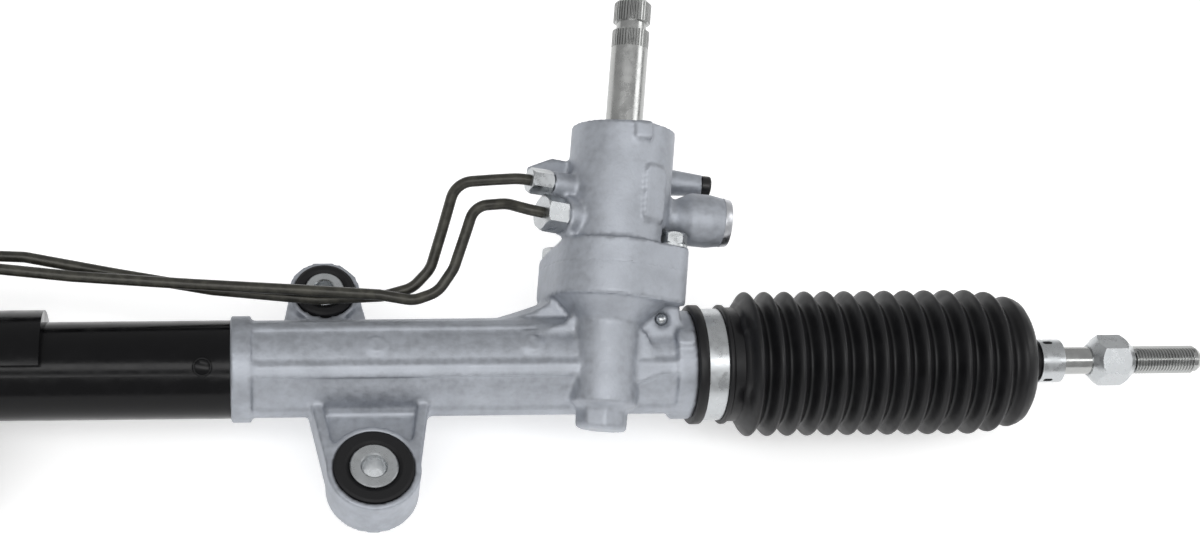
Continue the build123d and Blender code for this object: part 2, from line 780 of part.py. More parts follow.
def valve_sleeve():
    """The ported sleeve of the rotary valve, which turns with the pinion."""
    body = ring(spool_radius + run_gap, valve_bore - run_gap, pinion_top, sleeve_top, pinion_frame)
    for height in valve_ring_heights():
        body -= ring(valve_bore - 1.4, valve_bore + 1, height - 1, height + 1, pinion_frame)
    for height in (lower_pipe_port[1], pressure_port[1] + 2.5, upper_pipe_port[1] - 2.5):
        for number in range(4):
            hole = Rot(0, 90, 0) * disc(1.5, spool_radius - 1, valve_bore + 1, Plane.XY)
            body -= pinion_frame * (Pos(0, 0, height) * (Rot(0, 0, number * 90) * hole))
    return body


def valve_sleeve_rings():
    """The sealing rings in the sleeve's grooves."""
    inner, outer = valve_bore - 1.4 + seat_gap, valve_bore - run_gap
    heights = valve_ring_heights()
    return Part() + [ring(inner, outer, h - 0.95, h + 0.95, pinion_frame) for h in heights]


def splined_length(low, high):
    """A splined stretch of the input shaft; its teeth are a ring of small points."""
    points = []
    for number in range(spline_teeth):
        for step, depth in ((0.0, 0), (0.28, 0), (0.5, spline_depth), (0.78, spline_depth)):
            angle = 2 * pi * (number + step) / spline_teeth
            reach = input_radius - depth
            points.append((reach * cos(angle), reach * sin(angle)))
    return plate(points, low, high, pinion_frame)


def input_shaft():
    """The input shaft: the spool inside the valve, a plain stretch, and a splined end with a clamp groove."""
    spool_bottom, spool_top = pinion_top + 0.4, valve_bore_top + 1
    body = disc(spool_radius, spool_bottom, spool_top, pinion_frame)
    body += disc(input_radius, spool_top - 1, spline_start, pinion_frame)
    body += splined_length(spline_start, clamp_groove_low)
    body += disc(clamp_groove_radius, clamp_groove_low - 1, clamp_groove_high + 1, pinion_frame)
    crown = [
        (0, clamp_groove_high - 1),
        (input_radius + 1, clamp_groove_high - 1),
        (input_radius + 1, shaft_top - shaft_crown - 1),
        (input_radius - shaft_crown, shaft_top),
        (0, shaft_top),
    ]
    body += splined_length(clamp_groove_high, shaft_top) & turned(crown, pinion_frame)
    middle = (lower_pipe_port[1] + upper_pipe_port[1]) / 2
    for number in range(spool_slots):
        slot = Pos(spool_radius, 0, middle) * Box(1.6, 2.6, 26)
        body -= pinion_frame * (Rot(0, 0, number * 360 / spool_slots) * slot)
    return body - disc(input_bore_radius, spool_bottom - 1, torsion_top + face_gap, pinion_frame)


def torsion_bar():
    """The torsion bar between the pinion and the input shaft, with a thick head at each end."""
    low = pinion_bore_floor + 1
    body = disc(torsion_bar_radius, low, torsion_top, pinion_frame)
    body += disc(pinion_bore_radius, low, low + torsion_head_length, pinion_frame)
    return body + disc(input_bore_radius - seat_gap, torsion_top - torsion_head_length, torsion_top, pinion_frame)


def shaft_bearing():
    """The bearing between the input shaft and the top of the valve housing."""
    low, high = shaft_bearing_low, shaft_bearing_high
    return ring(input_radius + run_gap, upper_seat_radius, low, high, pinion_frame)


def shaft_seal():
    """The lip seal above the input shaft's bearing."""
    low, high = shaft_bearing_high, shaft_seal_high
    profile = [
        (input_radius + run_gap, low + 2),
        (input_radius + 2, low),
        (upper_seat_radius, low),
        (upper_seat_radius, high),
        (input_radius + 2, high),
        (input_radius + run_gap, low + 4),
    ]
    return turned(profile, pinion_frame)


def shaft_snap_ring():
    """The snap ring that keeps the seal in."""
    low = shaft_seal_high
    body = ring(input_radius + 2, upper_seat_radius, low, low + 1.2, pinion_frame)
    return body - pinion_frame * (Pos(0, upper_seat_radius - 2, low) * Box(5, 6, 4))


# Rack bar, piston and cylinder


def rack_bar():
    """The rack bar, its teeth cut along the pinion shaft's direction."""
    half = ball_back - washer_thickness - rack_middle
    left, right = rack_middle - half, rack_middle + half
    body = disc(rack_radius, left, right, rack_frame)
    body = chamfer(body.edges().filter_by(GeomType.CIRCLE), rack_end_bevel)
    gap_pitch = pi * tooth_module
    toothed = gap_pitch * rack_gap_count / cos(lean) + 2
    height = rack_radius + 2 - rack_flat_height
    body -= gear_frame * (Pos(0, 0, rack_flat_height + height / 2) * Box(toothed, 3 * rack_radius, height))
    near = centre_distance - rack_flat_height - 1
    far = centre_distance - pitch_line_height + rack_dedendum
    middle = gap_pitch / 4 + tooth_backlash / 2
    slope = tan(radians(pressure_angle))
    wide, narrow = middle + (rack_addendum + 1) * slope, middle - rack_dedendum * slope
    across = rack_radius + 6 + toothed / 2 * sin(lean)
    for number in range(rack_gap_count):
        x = (number - (rack_gap_count - 1) / 2) * gap_pitch
        gap = [(x - wide, near), (x + wide, near), (x + narrow, far), (x - narrow, far)]
        body -= plate(gap, -across, across, pinion_frame)
    hole = socket_stud_radius + seat_gap
    body -= disc(hole, right - socket_stud_length - 1, right + 1, rack_frame)
    return body - disc(hole, left - 1, left + socket_stud_length + 1, rack_frame)


def rack_bushing():
    """The plain bushing that carries the rack bar at the pinion end."""
    return ring(rack_radius + run_gap, rack_bore - seat_gap, bellows_start - 22, bellows_start - 2, rack_frame)


def rod_guide():
    """The stepped guide that closes the cylinder beside the gear housing."""
    face = rod_guide_face
    inner = rack_radius + run_gap
    profile = [
        (inner, face - rod_guide_length),
        (tube_bore - seat_gap, face - rod_guide_length),
        (tube_bore - seat_gap, face),
        (rack_bore - seat_gap, face),
        (rack_bore - seat_gap, face + rod_guide_nose),
        (inner, face + rod_guide_nose),
    ]
    return turned(profile, rack_frame)


def rod_seal():
    """The high-pressure seal on the rack bar, against the stepped guide."""
    low = rod_guide_face - rod_guide_length - rod_seal_length
    return ring(rack_radius + run_gap, tube_bore - seat_gap, low, low + rod_seal_length, rack_frame)


def end_cap():
    """The aluminium cap at the far end of the cylinder, shaped like the housing's end for its bellows."""
    insert = tube_left + insert_length
    body = disc(tube_bore - seat_gap, tube_left, insert, rack_frame)
    body += disc(end_collar_radius, end_cap_face, tube_left - face_gap, rack_frame)
    body += disc(tube_bore - seat_gap, end_cap_face, tube_left + 1, rack_frame)
    body += disc(end_sleeve_radius, end_cap_face - end_sleeve_length, end_cap_face, rack_frame)
    body -= disc(rack_radius + run_gap, end_cap_face - 1, insert + 1, rack_frame)
    body -= disc(end_sleeve_bore, end_cap_face - end_sleeve_length - 1, end_cap_face, rack_frame)
    return body - disc(end_seal_radius + seat_gap, insert - rod_seal_length, insert + 1, rack_frame)


def end_seal():
    """The seal on the rack bar inside the end cap."""
    insert = tube_left + insert_length
    return ring(rack_radius + run_gap, end_seal_radius, insert - rod_seal_length, insert, rack_frame)


def piston():
    """The piston on the rack bar."""
    low = piston_place - piston_length / 2
    body = ring(rack_radius + seat_gap, tube_bore - run_gap, low, low + piston_length, rack_frame)
    half = piston_ring_width / 2
    return body - ring(piston_ring_inner, tube_bore + 1, piston_place - half, piston_place + half, rack_frame)


def piston_ring():
    """The ring that seals the piston in the tube."""
    half = piston_ring_width / 2 - seat_gap
    inner, outer = piston_ring_inner + seat_gap, tube_bore - run_gap
    return ring(inner, outer, piston_place - half, piston_place + half, rack_frame)


def cylinder_tube():
    """The black steel tube, with two brazed port bosses and a mark where it is staked to the housing."""
    body = disc(tube_radius, tube_left, barrel_left - face_gap, rack_frame)
    ports = [cylinder_port_frame(place) for place in (right_port_place, left_port_place)]
    for frame in ports:
        body += disc(port_boss_radius, tube_bore, port_boss_top, frame)
    body -= disc(tube_bore, tube_left - 1, barrel_left + 1, rack_frame)
    for frame in ports:
        body -= disc(port_thread + seat_gap, tube_radius - 0.5, port_boss_top + 1, frame)
        body -= disc(oil_hole, tube_bore - 3, port_boss_top, frame)
    stake_sphere = (stake_radius**2 + stake_depth**2) / 2 / stake_depth
    reach = tube_radius - stake_depth + stake_sphere
    angle = radians(90 + rib_tilt - 6)
    return body - Pos(stake_place, reach * cos(angle), reach * sin(angle)) * Sphere(stake_sphere)


def saddle_bracket():
    """The steel bracket welded round the tube, with a lug on each side for its bushes."""
    left, right = saddle_right - saddle_length, saddle_right
    inner, outer = tube_radius + seat_gap, tube_radius + saddle_thickness
    outline = Polyline((inner, 0, left), (outer, 0, left), (outer, 0, right), (inner, 0, right), close=True)
    shell = revolve(make_face(outline), Axis.Z, saddle_front_angle - saddle_back_angle)
    body = rack_frame * (Rot(0, 0, saddle_back_angle) * shell)
    body += ring(inner, outer, left, left + saddle_band, rack_frame)
    body += plain_lug(cylinder_rear_bush, tube_radius * 0.65)
    body += plain_lug(cylinder_front_bush, -tube_radius * 0.65)
    body -= disc(inner, left - 30, right + 30, rack_frame)
    for place in (cylinder_rear_bush, cylinder_front_bush):
        body -= disc(rear_rubber_radius + seat_gap, bush_bottom - 1, bush_top + 4, upright(place))
    return body


# Mounting bushes


def bush_rubber(place, inner, outer):
    """The rubber of a mounting bush, which stands a little above its boss."""
    top = bush_top + 1.2
    profile = [
        (inner + seat_gap, bush_bottom),
        (outer, bush_bottom),
        (outer, top - 0.6),
        (outer - 1.2, top),
        (inner + 2.2, top),
        (inner + seat_gap, top - 1.5),
    ]
    return turned(profile, upright(place))


def bush_sleeve(place, radius, hole):
    """The steel sleeve through a mounting bush, bevelled at its rim and bore."""
    low = bush_middle - bush_sleeve_length / 2
    high = low + bush_sleeve_length
    bevel = 0.6
    profile = [
        (hole + bevel, low),
        (radius - bevel, low),
        (radius, low + bevel),
        (radius, high - bevel),
        (radius - bevel, high),
        (hole + bevel, high),
        (hole, high - bevel),
        (hole, low + bevel),
    ]
    return turned(profile, upright(place))


# Bellows and tie rods


def fold_points(peak, valley, end_peak):
    """(radius, X) points along the folds, from the first peak to the last; valleys lie half way."""
    points = []
    for number in range(fold_count):
        x = first_fold + number * fold_pitch
        shrink = max(0, number - fold_count + 3)
        points.append((peak - (peak - end_peak) * (shrink / 2) ** 2, x))
        if number < fold_count - 1:
            points.append((valley, x + fold_pitch / 2))
    return points


def bellows():
    """The right-hand bellows: a lip and cuff on the housing, folds, and a neck on the tie rod."""
    skin = bellows_skin
    groove_end = band_start + band_width
    cuff_start = groove_end + band_shoulder
    last = first_fold + (fold_count - 1) * fold_pitch
    seat = end_sleeve_radius + seat_gap
    outside = [
        (seat, bellows_start + face_gap),
        (lip_radius, bellows_start + face_gap),
        (lip_radius, band_start),
        (band_groove_radius, band_start),
        (band_groove_radius, groove_end),
        (lip_radius, groove_end),
        (lip_radius, cuff_start),
        (cuff_radius, cuff_start),
        (cuff_radius, first_fold - fold_pitch / 2),
    ]
    outside += fold_points(fold_peak, fold_valley, last_peak)
    outside += [
        (last_peak - 3, last + 5),
        (dome_radius, last + 10),
        (bellows_neck_radius, neck_start - 2),
        (bellows_neck_radius, neck_end),
    ]
    inside = [
        (rod_radius + seat_gap, neck_end),
        (rod_radius + seat_gap, neck_start - 1),
        (dome_radius - skin, last + 10 - skin),
        (last_peak - 3 - skin, last + 4 - skin / 2),
    ]
    inside += fold_points(fold_peak - skin, fold_valley - skin, last_peak - skin)[::-1]
    inside += [
        (cuff_radius - skin, first_fold - fold_pitch / 2),
        (cuff_radius - skin, bellows_start + end_sleeve_length + 1),
        (seat, bellows_start + end_sleeve_length + 1),
    ]
    return turned(outside + inside, rack_frame)


def bellows_clamp():
    """The steel band in the bellows' groove, with its crimped ear at the back."""
    inner = band_groove_radius + seat_gap
    outer = inner + band_thickness
    low, high = band_start + 0.3, band_start + band_width - 0.3
    middle = (low + high) / 2
    body = ring(inner, outer, low, high, rack_frame)
    ear = Pos(outer + 1.6, 0, middle) * Box(4, 6, high - low)
    ear -= Pos(outer + 1.4, 0, middle) * Box(2.4, 4.4, high - low + 2)
    ear -= disc(inner, low - 1, high + 1, Plane.XY)
    return body + rack_frame * (Rot(0, 0, -70) * ear)


def neck_clamp():
    """The punched crimp ring on the bellows' neck."""
    inner = bellows_neck_radius + seat_gap
    outer = inner + neck_clamp_thickness
    low = neck_start + 1.2
    body = ring(inner, outer, low, low + neck_clamp_length, rack_frame)
    for number in range(3):
        punch = Pos(0, 0, low + 4) * (Rot(0, 90, 0) * extrude(SlotOverall(4.6, 2.6), outer + 2))
        body -= rack_frame * (Rot(0, 0, 90 + rib_tilt + 60 + number * 120) * punch)
    return body


def ball_socket():
    """The steel housing of the inner ball joint, screwed into the end of the rack bar."""
    body = disc(socket_radius, -socket_back, socket_front, ball_frame)
    body = chamfer(body.edges().filter_by(GeomType.CIRCLE), 1.5)
    stud_end = -socket_back - washer_thickness - socket_stud_length
    body += disc(socket_stud_radius, stud_end, -socket_back + 1, ball_frame)
    body -= ball_frame * Sphere(socket_cavity)
    swing = acos(cos(radians(swing_vertical)) * cos(radians(swing_level)))
    mouth = rod_neck_radius / cos(swing) + socket_front * tan(swing) + opening_clearance
    slope = tan(swing + radians(opening_flare))
    far = socket_front + 1
    opening = [(0, 0), (mouth - socket_front * slope, 0), (mouth + slope, far), (0, far)]
    body -= turned(opening, ball_frame)
    for side in (-1, 1):
        cut = Box(3 * socket_radius, 10, 13)
        body -= ball_frame * (Pos(0, side * (socket_flat + 5), 6 - socket_back) * cut)
    return body


def ball_seat():
    """The plastic cup between the socket and the ball."""
    cup = Sphere(ball_seat_outer) - Sphere(ball_seat_inner)
    wide = 4 * ball_radius
    cut = Pos(0, 0, ball_seat_front + wide / 2) * Box(wide, wide, wide)
    return ball_frame * (cup - cut)


def stop_washer():
    """The washer between the rack bar's end and the ball joint's socket."""
    return ring(socket_stud_radius + seat_gap, washer_radius, ball_back - washer_thickness, ball_back, rack_frame)


def tie_rod():
    """The tie rod: its ball, neck, plain stretch and threaded end."""
    neck_end_place = ball_place + rod_neck_length
    taper_end = neck_end_place + rod_taper_length
    bevel = 1.5
    profile = [
        (0, ball_place),
        (rod_neck_radius, ball_place),
        (rod_neck_radius, neck_end_place),
        (rod_radius, taper_end),
        (rod_radius, thread_start),
        (thread_radius, thread_start),
        (thread_radius, rod_end - bevel),
        (thread_radius - bevel, rod_end),
        (0, rod_end),
    ]
    return turned(profile, rack_frame) + ball_frame * Sphere(ball_radius)


def lock_nut():
    """The long-bevelled lock nut at the inner end of the tie rod's thread."""
    up = (0, cos(radians(rib_tilt)), sin(radians(rib_tilt)))
    frame = Plane(origin=(0, 0, 0), x_dir=up, z_dir=(1, 0, 0))
    low, high = lock_nut_place, lock_nut_place + lock_nut_length
    nut = hexagon(lock_nut_width, low, high, frame, bevel=lock_nut_bevel)
    return nut - disc(rod_radius + seat_gap, low - 1, high + 1, rack_frame)


# Pipes


def pipe(corners):
    """A bent steel pipe along its corners, each bend as large as its two runs allow up to the usual one."""
    radii = []
    for before, corner, after in zip(corners, corners[1:], corners[2:]):
        into, out = corner - before, after - corner
        half = radians(into.get_angle(out)) / 2
        room = 0.45 * min(into.length, out.length) / tan(half)
        radii.append(min(pipe_bend, room))
    path = FilletPolyline(*corners, radius=radii)
    start = Plane(origin=corners[0], z_dir=corners[1] - corners[0])
    tube = sweep(start * Circle(pipe_radius), path)
    return tube - sweep(start * Circle(pipe_radius - pipe_wall), path)


def pipe_corners(port, seat, first_run, middle, place):
    """The corners of a pipe: out of its valve port, through the middle ones, and down into the cylinder."""
    frame = side_frame(port, -1)
    start = [frame.from_local_coords(Vector(0, 0, distance)) for distance in (seat, first_run)]
    route = [pipe_frame.from_local_coords(Vector(*point)) for point in middle]
    end_frame = cylinder_port_frame(place)
    over = route[-1].dot(port_up)
    end = [end_frame.from_local_coords(Vector(0, 0, height)) for height in (over - 1, tube_radius)]
    return start + route + end


# Middle corners of the two pipes: X, height above the rack bar, and distance towards the front
upper_pipe_route = (
    (-54.6, 92.4, 13.0),
    (-71.9, 91.6, 6.9),
    (-78.4, 67.9, 1.0),
    (-84.1, 49.0, -2.0),
    (-93.0, 39.6, -3.0),
    (-108.0, 35.6, -3.0),
    (-141.0, 34.4, -3.0),
    (-193.0, 39.6, -3.5),
    (-242.0, 48.3, -3.5),
    (-286.0, 56.8, -3.0),
    (-300.0, 57.5, -5.0),
    (-325.0, 59.5, -9.0),
)
lower_pipe_route = (
    (-47.5, 80.7, 14.0),
    (-62.8, 79.9, 8.0),
    (-67.2, 66.0, 5.5),
    (-73.0, 49.0, 4.0),
    (-81.0, 37.5, 4.0),
    (-93.0, 33.4, 4.0),
    (-110.0, 36.4, 4.0),
    (-150.0, 39.2, 4.0),
    (-205.0, 42.7, 4.0),
    (-262.0, 47.0, 4.5),
    (-300.0, 51.2, 6.0),
    (-328.0, 50.0, 14.0),
    (-362.0, 48.0, 14.0),
    (-405.0, 52.0, 5.0),
    (-470.0, 53.5, 0.5),
)


def upper_pipe():
    """The pipe from the upper port to the cylinder's right-hand chamber."""
    first_run = upper_port_reach + valve_nut_length + 5
    return pipe(pipe_corners(upper_pipe_port, upper_port_seat + 1, first_run, upper_pipe_route, right_port_place))


def lower_pipe():
    """The pipe from the lower port to the cylinder's left-hand chamber."""
    first_run = lower_port_reach + valve_nut_length + 6
    return pipe(pipe_corners(lower_pipe_port, lower_port_seat + 1, first_run, lower_pipe_route, left_port_place))


def valve_pipe_nut(port, width, thread, seat, reach):
    """The tube nut at one of the valve's left-hand ports."""
    return pipe_nut(width, thread, seat, reach, valve_nut_length, side_frame(port, -1))


def cylinder_pipe_nuts():
    """The two tube nuts on the cylinder's ports."""
    nuts = []
    for place in (right_port_place, left_port_place):
        frame = cylinder_port_frame(place)
        nuts.append(pipe_nut(port_nut_width, port_thread, tube_radius, port_boss_top, port_nut_length, frame))
    return Part() + nuts


def bush_pieces():
    """The rubber and the steel sleeve of each mounting bush."""
    small = (rear_sleeve_radius, rear_rubber_radius, rear_bolt_hole)
    bushes = {
        "front_bush": (front_bush, front_sleeve_radius, front_rubber_radius, front_bolt_hole),
        "rear_bush": (rear_bush, *small),
        "cylinder_front_bush": (cylinder_front_bush, *small),
        "cylinder_rear_bush": (cylinder_rear_bush, *small),
    }
    found = {}
    for name, (place, sleeve, rubber, hole) in bushes.items():
        found[name + "_rubber"] = bush_rubber(place, sleeve, rubber)
        found[name + "_sleeve"] = bush_sleeve(place, sleeve, hole)
    return found


def end_pieces():
    """What both ends of the rack have, the left-hand ones being mirrored copies."""
    makers = {
        "bellows": bellows,
        "bellows_clamp": bellows_clamp,
        "neck_clamp": neck_clamp,
        "ball_socket": ball_socket,
        "ball_seat": ball_seat,
        "stop_washer": stop_washer,
        "tie_rod": tie_rod,
        "lock_nut": lock_nut,
    }
    found = {}
    for name, maker in makers.items():
        right = maker()
        found[name + "_right"] = right
        found[name + "_left"] = mirrored(right)
    return found


def main():
    """Make every piece, move it to the part's origin and write it."""
    upper_nut = (upper_pipe_port, upper_nut_width, upper_port_thread, upper_port_seat, upper_port_reach)
    lower_nut = (lower_pipe_port, lower_nut_width, lower_port_thread, lower_port_seat, lower_port_reach)
    pieces = {
        "gear_housing": gear_housing(),
        "valve_housing": valve_housing(),
        "valve_housing_bolts": flange_bolts(),
        "housing_seal": housing_seal(),
        "gallery_ball_plug": ball_plug_frame() * Sphere(ball_plug_radius),
        "rack_guide": rack_guide(),
        "rack_guide_spring": rack_guide_spring(),
        "rack_guide_plug": rack_guide_plug(),
        "rack_guide_lock_nut": rack_guide_lock_nut(),
        "pinion_lower_bearing": lower_bearing(),
        "pinion_upper_bearing": upper_bearing(),
        "pinion_bearing_nut": bearing_nut(),
        "input_shaft_bearing": shaft_bearing(),
        "input_shaft_seal": shaft_seal(),
        "input_shaft_snap_ring": shaft_snap_ring(),
        "return_port_plug": return_port_plug(),
        "pinion": pinion(),
        "valve_sleeve": valve_sleeve(),
        "valve_sleeve_rings": valve_sleeve_rings(),
        "input_shaft": input_shaft(),
        "torsion_bar": torsion_bar(),
        "rack_bar": rack_bar(),
        "rack_bushing": rack_bushing(),
        "rod_guide": rod_guide(),
        "rod_seal": rod_seal(),
        "piston": piston(),
        "piston_ring": piston_ring(),
        "cylinder_tube": cylinder_tube(),
        "cylinder_end_cap": end_cap(),
        "cylinder_end_seal": end_seal(),
        "cylinder_bracket": saddle_bracket(),
        "upper_pipe": upper_pipe(),
        "lower_pipe": lower_pipe(),
        "upper_pipe_nut": valve_pipe_nut(*upper_nut),
        "lower_pipe_nut": valve_pipe_nut(*lower_nut),
        "cylinder_pipe_nuts": cylinder_pipe_nuts(),
    }
    pieces |= bush_pieces()
    pieces |= end_pieces()
    os.makedirs("parts", exist_ok=True)
    for name, shape in pieces.items():
        export_step(origin_shift * shape, f"parts/{name}.step")


main()
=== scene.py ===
"""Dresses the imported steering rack: cast skins, rubber bellows, threads, finishes, stage and camera."""
import json
from math import atan2, cos, pi, radians, sin, sqrt

import bmesh
import bpy
from bpy.props import FloatProperty, FloatVectorProperty, IntProperty, PointerProperty, StringProperty
from mathutils import Matrix, Vector


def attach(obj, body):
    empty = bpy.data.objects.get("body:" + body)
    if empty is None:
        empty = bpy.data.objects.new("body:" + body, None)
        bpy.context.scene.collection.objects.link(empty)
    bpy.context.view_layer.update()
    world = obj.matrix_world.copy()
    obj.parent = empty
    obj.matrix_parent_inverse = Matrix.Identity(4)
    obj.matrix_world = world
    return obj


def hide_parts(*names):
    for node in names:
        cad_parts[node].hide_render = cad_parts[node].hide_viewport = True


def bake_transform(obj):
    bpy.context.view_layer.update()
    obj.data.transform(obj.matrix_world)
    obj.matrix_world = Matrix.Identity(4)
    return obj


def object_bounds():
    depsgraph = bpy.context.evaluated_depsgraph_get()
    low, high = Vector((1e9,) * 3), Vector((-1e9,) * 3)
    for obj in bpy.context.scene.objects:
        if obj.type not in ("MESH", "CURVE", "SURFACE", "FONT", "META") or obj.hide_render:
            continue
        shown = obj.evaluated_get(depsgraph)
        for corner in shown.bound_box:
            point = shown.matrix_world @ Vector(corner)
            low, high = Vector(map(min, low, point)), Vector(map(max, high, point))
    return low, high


bl_info = {
    "name": "Steering rack",
    "version": (1, 0, 0),
    "blender": (4, 5, 0),
    "location": "3D View > Sidebar > Steering rack",
    "description": "Dresses a hydraulic power steering rack and its stage",
    "category": "Object",
}

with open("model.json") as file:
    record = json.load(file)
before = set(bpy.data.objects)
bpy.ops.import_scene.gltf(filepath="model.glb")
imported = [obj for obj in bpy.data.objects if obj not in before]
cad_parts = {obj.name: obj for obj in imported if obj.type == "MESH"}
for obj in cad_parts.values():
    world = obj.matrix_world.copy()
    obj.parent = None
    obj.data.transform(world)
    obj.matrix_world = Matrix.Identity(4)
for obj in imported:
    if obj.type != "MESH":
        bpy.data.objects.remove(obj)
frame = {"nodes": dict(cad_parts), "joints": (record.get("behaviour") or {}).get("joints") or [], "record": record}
CAD_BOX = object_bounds()
NODES = frame["nodes"]
JOINTS = {joint["name"]: joint for joint in frame["joints"]}
MOUNTS = {mount["name"]: mount for mount in frame["record"]["mounts"]}
MM = 0.001
SIDES = ("right", "left")

# The rack bar's axis and the pinion shaft's, as the frame gives them
BALL_RIGHT = Vector(JOINTS["right_tie_rod_steer"]["pos_m"])
BALL_LEFT = Vector(JOINTS["left_tie_rod_steer"]["pos_m"])
RACK_MIDDLE = (BALL_RIGHT + BALL_LEFT) / 2
SHAFT_POINT = Vector(JOINTS["pinion_spin"]["pos_m"])
SHAFT_UP = Vector(JOINTS["pinion_spin"]["axis"])


def axis_frame(point, direction, across=(0, 0, 1)):
    """A matrix whose Z axis runs from point along direction, and whose X axis is near across."""
    z = Vector(direction).normalized()
    x = Vector(across)
    x = (x - z * x.dot(z)).normalized()
    turn = Matrix((x, z.cross(x), z)).transposed().to_4x4()
    return Matrix.Translation(Vector(point)) @ turn


RACK = axis_frame((SHAFT_POINT.x, BALL_RIGHT.y, BALL_RIGHT.z), (1, 0, 0))
SHAFT = axis_frame(SHAFT_POINT, SHAFT_UP, (1, 0, 0))
MIRROR = Matrix.Translation((2 * RACK_MIDDLE.x, 0, 0)) @ Matrix.Diagonal((-1, 1, 1, 1))


# Sizes and colours that a user would change


class RackFinishes(bpy.types.PropertyGroup):
    """Colours of the rack's finishes, as sRGB hex values."""

    casting: StringProperty(name="Casting", description="Die-cast aluminium skin", default="A8ACB3")
    machined: StringProperty(name="Machined", description="Turned aluminium faces", default="C6C8CC")
    paint: StringProperty(name="Paint", description="Gloss paint of the cylinder tube", default="09090B")
    pipe: StringProperty(name="Pipes", description="Coating of the steel pipes", default="2E2D28")
    zinc: StringProperty(name="Zinc", description="Zinc plate on nuts, bolts and sleeves", default="B9BCBE")
    steel: StringProperty(name="Steel", description="Turned steel of shaft and tie rods", default="A9AAA9")
    rubber: StringProperty(name="Rubber", description="Rubber of the bellows and bushes", default="0C0C0E")
    plug: StringProperty(name="Plug", description="Polyamide of the transport plug", default="0D0D0E")
    nylon: StringProperty(name="Nylon", description="Nylon of ball seats and sealing rings", default="E6E2D6")
    bronze: StringProperty(name="Bronze", description="Sintered bronze of plain bearings", default="9A7A4A")
    wire: StringProperty(name="Wire", description="Wire of the rack guide's spring", default="5A5A5C")


class RackBellows(bpy.types.PropertyGroup):
    """Shape of the bellows, measured from where the pinion crosses the rack bar."""

    peak: FloatProperty(name="Peak radius", description="Radius at the top of a fold", default=36.0 * MM,
                        unit="LENGTH")
    valley: FloatProperty(name="Valley radius", description="Radius between two folds", default=30.6 * MM,
                          unit="LENGTH")
    skin: FloatProperty(name="Skin", description="Thickness of the rubber", default=2.2 * MM, unit="LENGTH")
    pitch: FloatProperty(name="Pitch", description="Distance from fold to fold", default=10.05 * MM,
                         unit="LENGTH")
    folds: IntProperty(name="Folds", description="Number of folds", default=14, min=4)
    first: FloatProperty(name="First fold", description="Place of the first fold", default=72.4 * MM,
                         unit="LENGTH")
    sharpness: FloatProperty(name="Sharpness", description="How narrow the folds' tops are", default=0.95)
    tapered: FloatProperty(name="Tapered folds", description="How many folds get smaller", default=2.2)
    peak_drop: FloatProperty(name="Peak drop", description="How much lower the last fold's top is",
                             default=3.6 * MM, unit="LENGTH")
    valley_drop: FloatProperty(name="Valley drop", description="How much lower the last valley is",
                               default=1.2 * MM, unit="LENGTH")
    pockets: IntProperty(name="Pockets", description="Number of pockets round the cuff", default=5)
    pocket: FloatProperty(name="Pocket depth", description="Depth of the cuff's pockets", default=2.4 * MM,
                          unit="LENGTH")
    pocket_place: FloatProperty(name="Pocket place", description="Middle of the pockets", default=66.4 * MM,
                                unit="LENGTH")
    pocket_half: FloatProperty(name="Pocket half", description="From a pocket's middle to its end",
                               default=3.8 * MM, unit="LENGTH")
    pocket_turn: FloatProperty(name="Pocket turn", description="Turn of the pockets about the rack bar",
                               default=radians(7), subtype="ANGLE")
    still: FloatProperty(name="Still end", description="End of the cuff, which stays with the housing",
                         default=62.0 * MM, unit="LENGTH")
    grip: FloatProperty(name="Grip", description="Where the neck grips the tie rod", default=216.0 * MM,
                        unit="LENGTH")


class RackCasting(bpy.types.PropertyGroup):
    """How finely the castings are skinned and how round their edges are."""

    grain: FloatProperty(name="Skin cell", description="Cell size of the cast skin", default=1.25 * MM,
                         unit="LENGTH")
    rounding: IntProperty(name="Rounding", description="Passes that round the cast edges", default=3)
    seam: FloatProperty(name="Joint", description="Height of the housings' joint above the rack bar's axis",
                        default=46.05 * MM, unit="LENGTH")
    overlap: FloatProperty(name="Joint overlap", description="How far each housing reaches past the joint",
                           default=1.6 * MM, unit="LENGTH")


class RackTieRod(bpy.types.PropertyGroup):
    """The tie rods and their thread; places along the rod are from the pinion crossing."""

    ball: FloatProperty(name="Ball", description="Radius of the ball", default=14.5 * MM, unit="LENGTH")
    neck: FloatProperty(name="Neck", description="Radius behind the ball", default=5.5 * MM, unit="LENGTH")
    rod: FloatProperty(name="Rod", description="Radius of the plain rod", default=6.85 * MM, unit="LENGTH")
    neck_length: FloatProperty(name="Neck length", description="From the ball's centre to the neck's end",
                               default=22.0 * MM, unit="LENGTH")
    rod_start: FloatProperty(name="Rod start", description="From the ball's centre to the plain rod",
                             default=32.0 * MM, unit="LENGTH")
    pitch: FloatProperty(name="Pitch", description="Thread pitch", default=1.5 * MM, unit="LENGTH")
    depth: FloatProperty(name="Depth", description="Thread depth", default=0.85 * MM, unit="LENGTH")
    radius: FloatProperty(name="Radius", description="Outside radius of the thread", default=6.98 * MM,
                          unit="LENGTH")
    start: FloatProperty(name="Start", description="Where the thread leaves the lock nut", default=266.0 * MM,
                         unit="LENGTH")
    end: FloatProperty(name="End", description="End of the tie rod", default=300.0 * MM, unit="LENGTH")


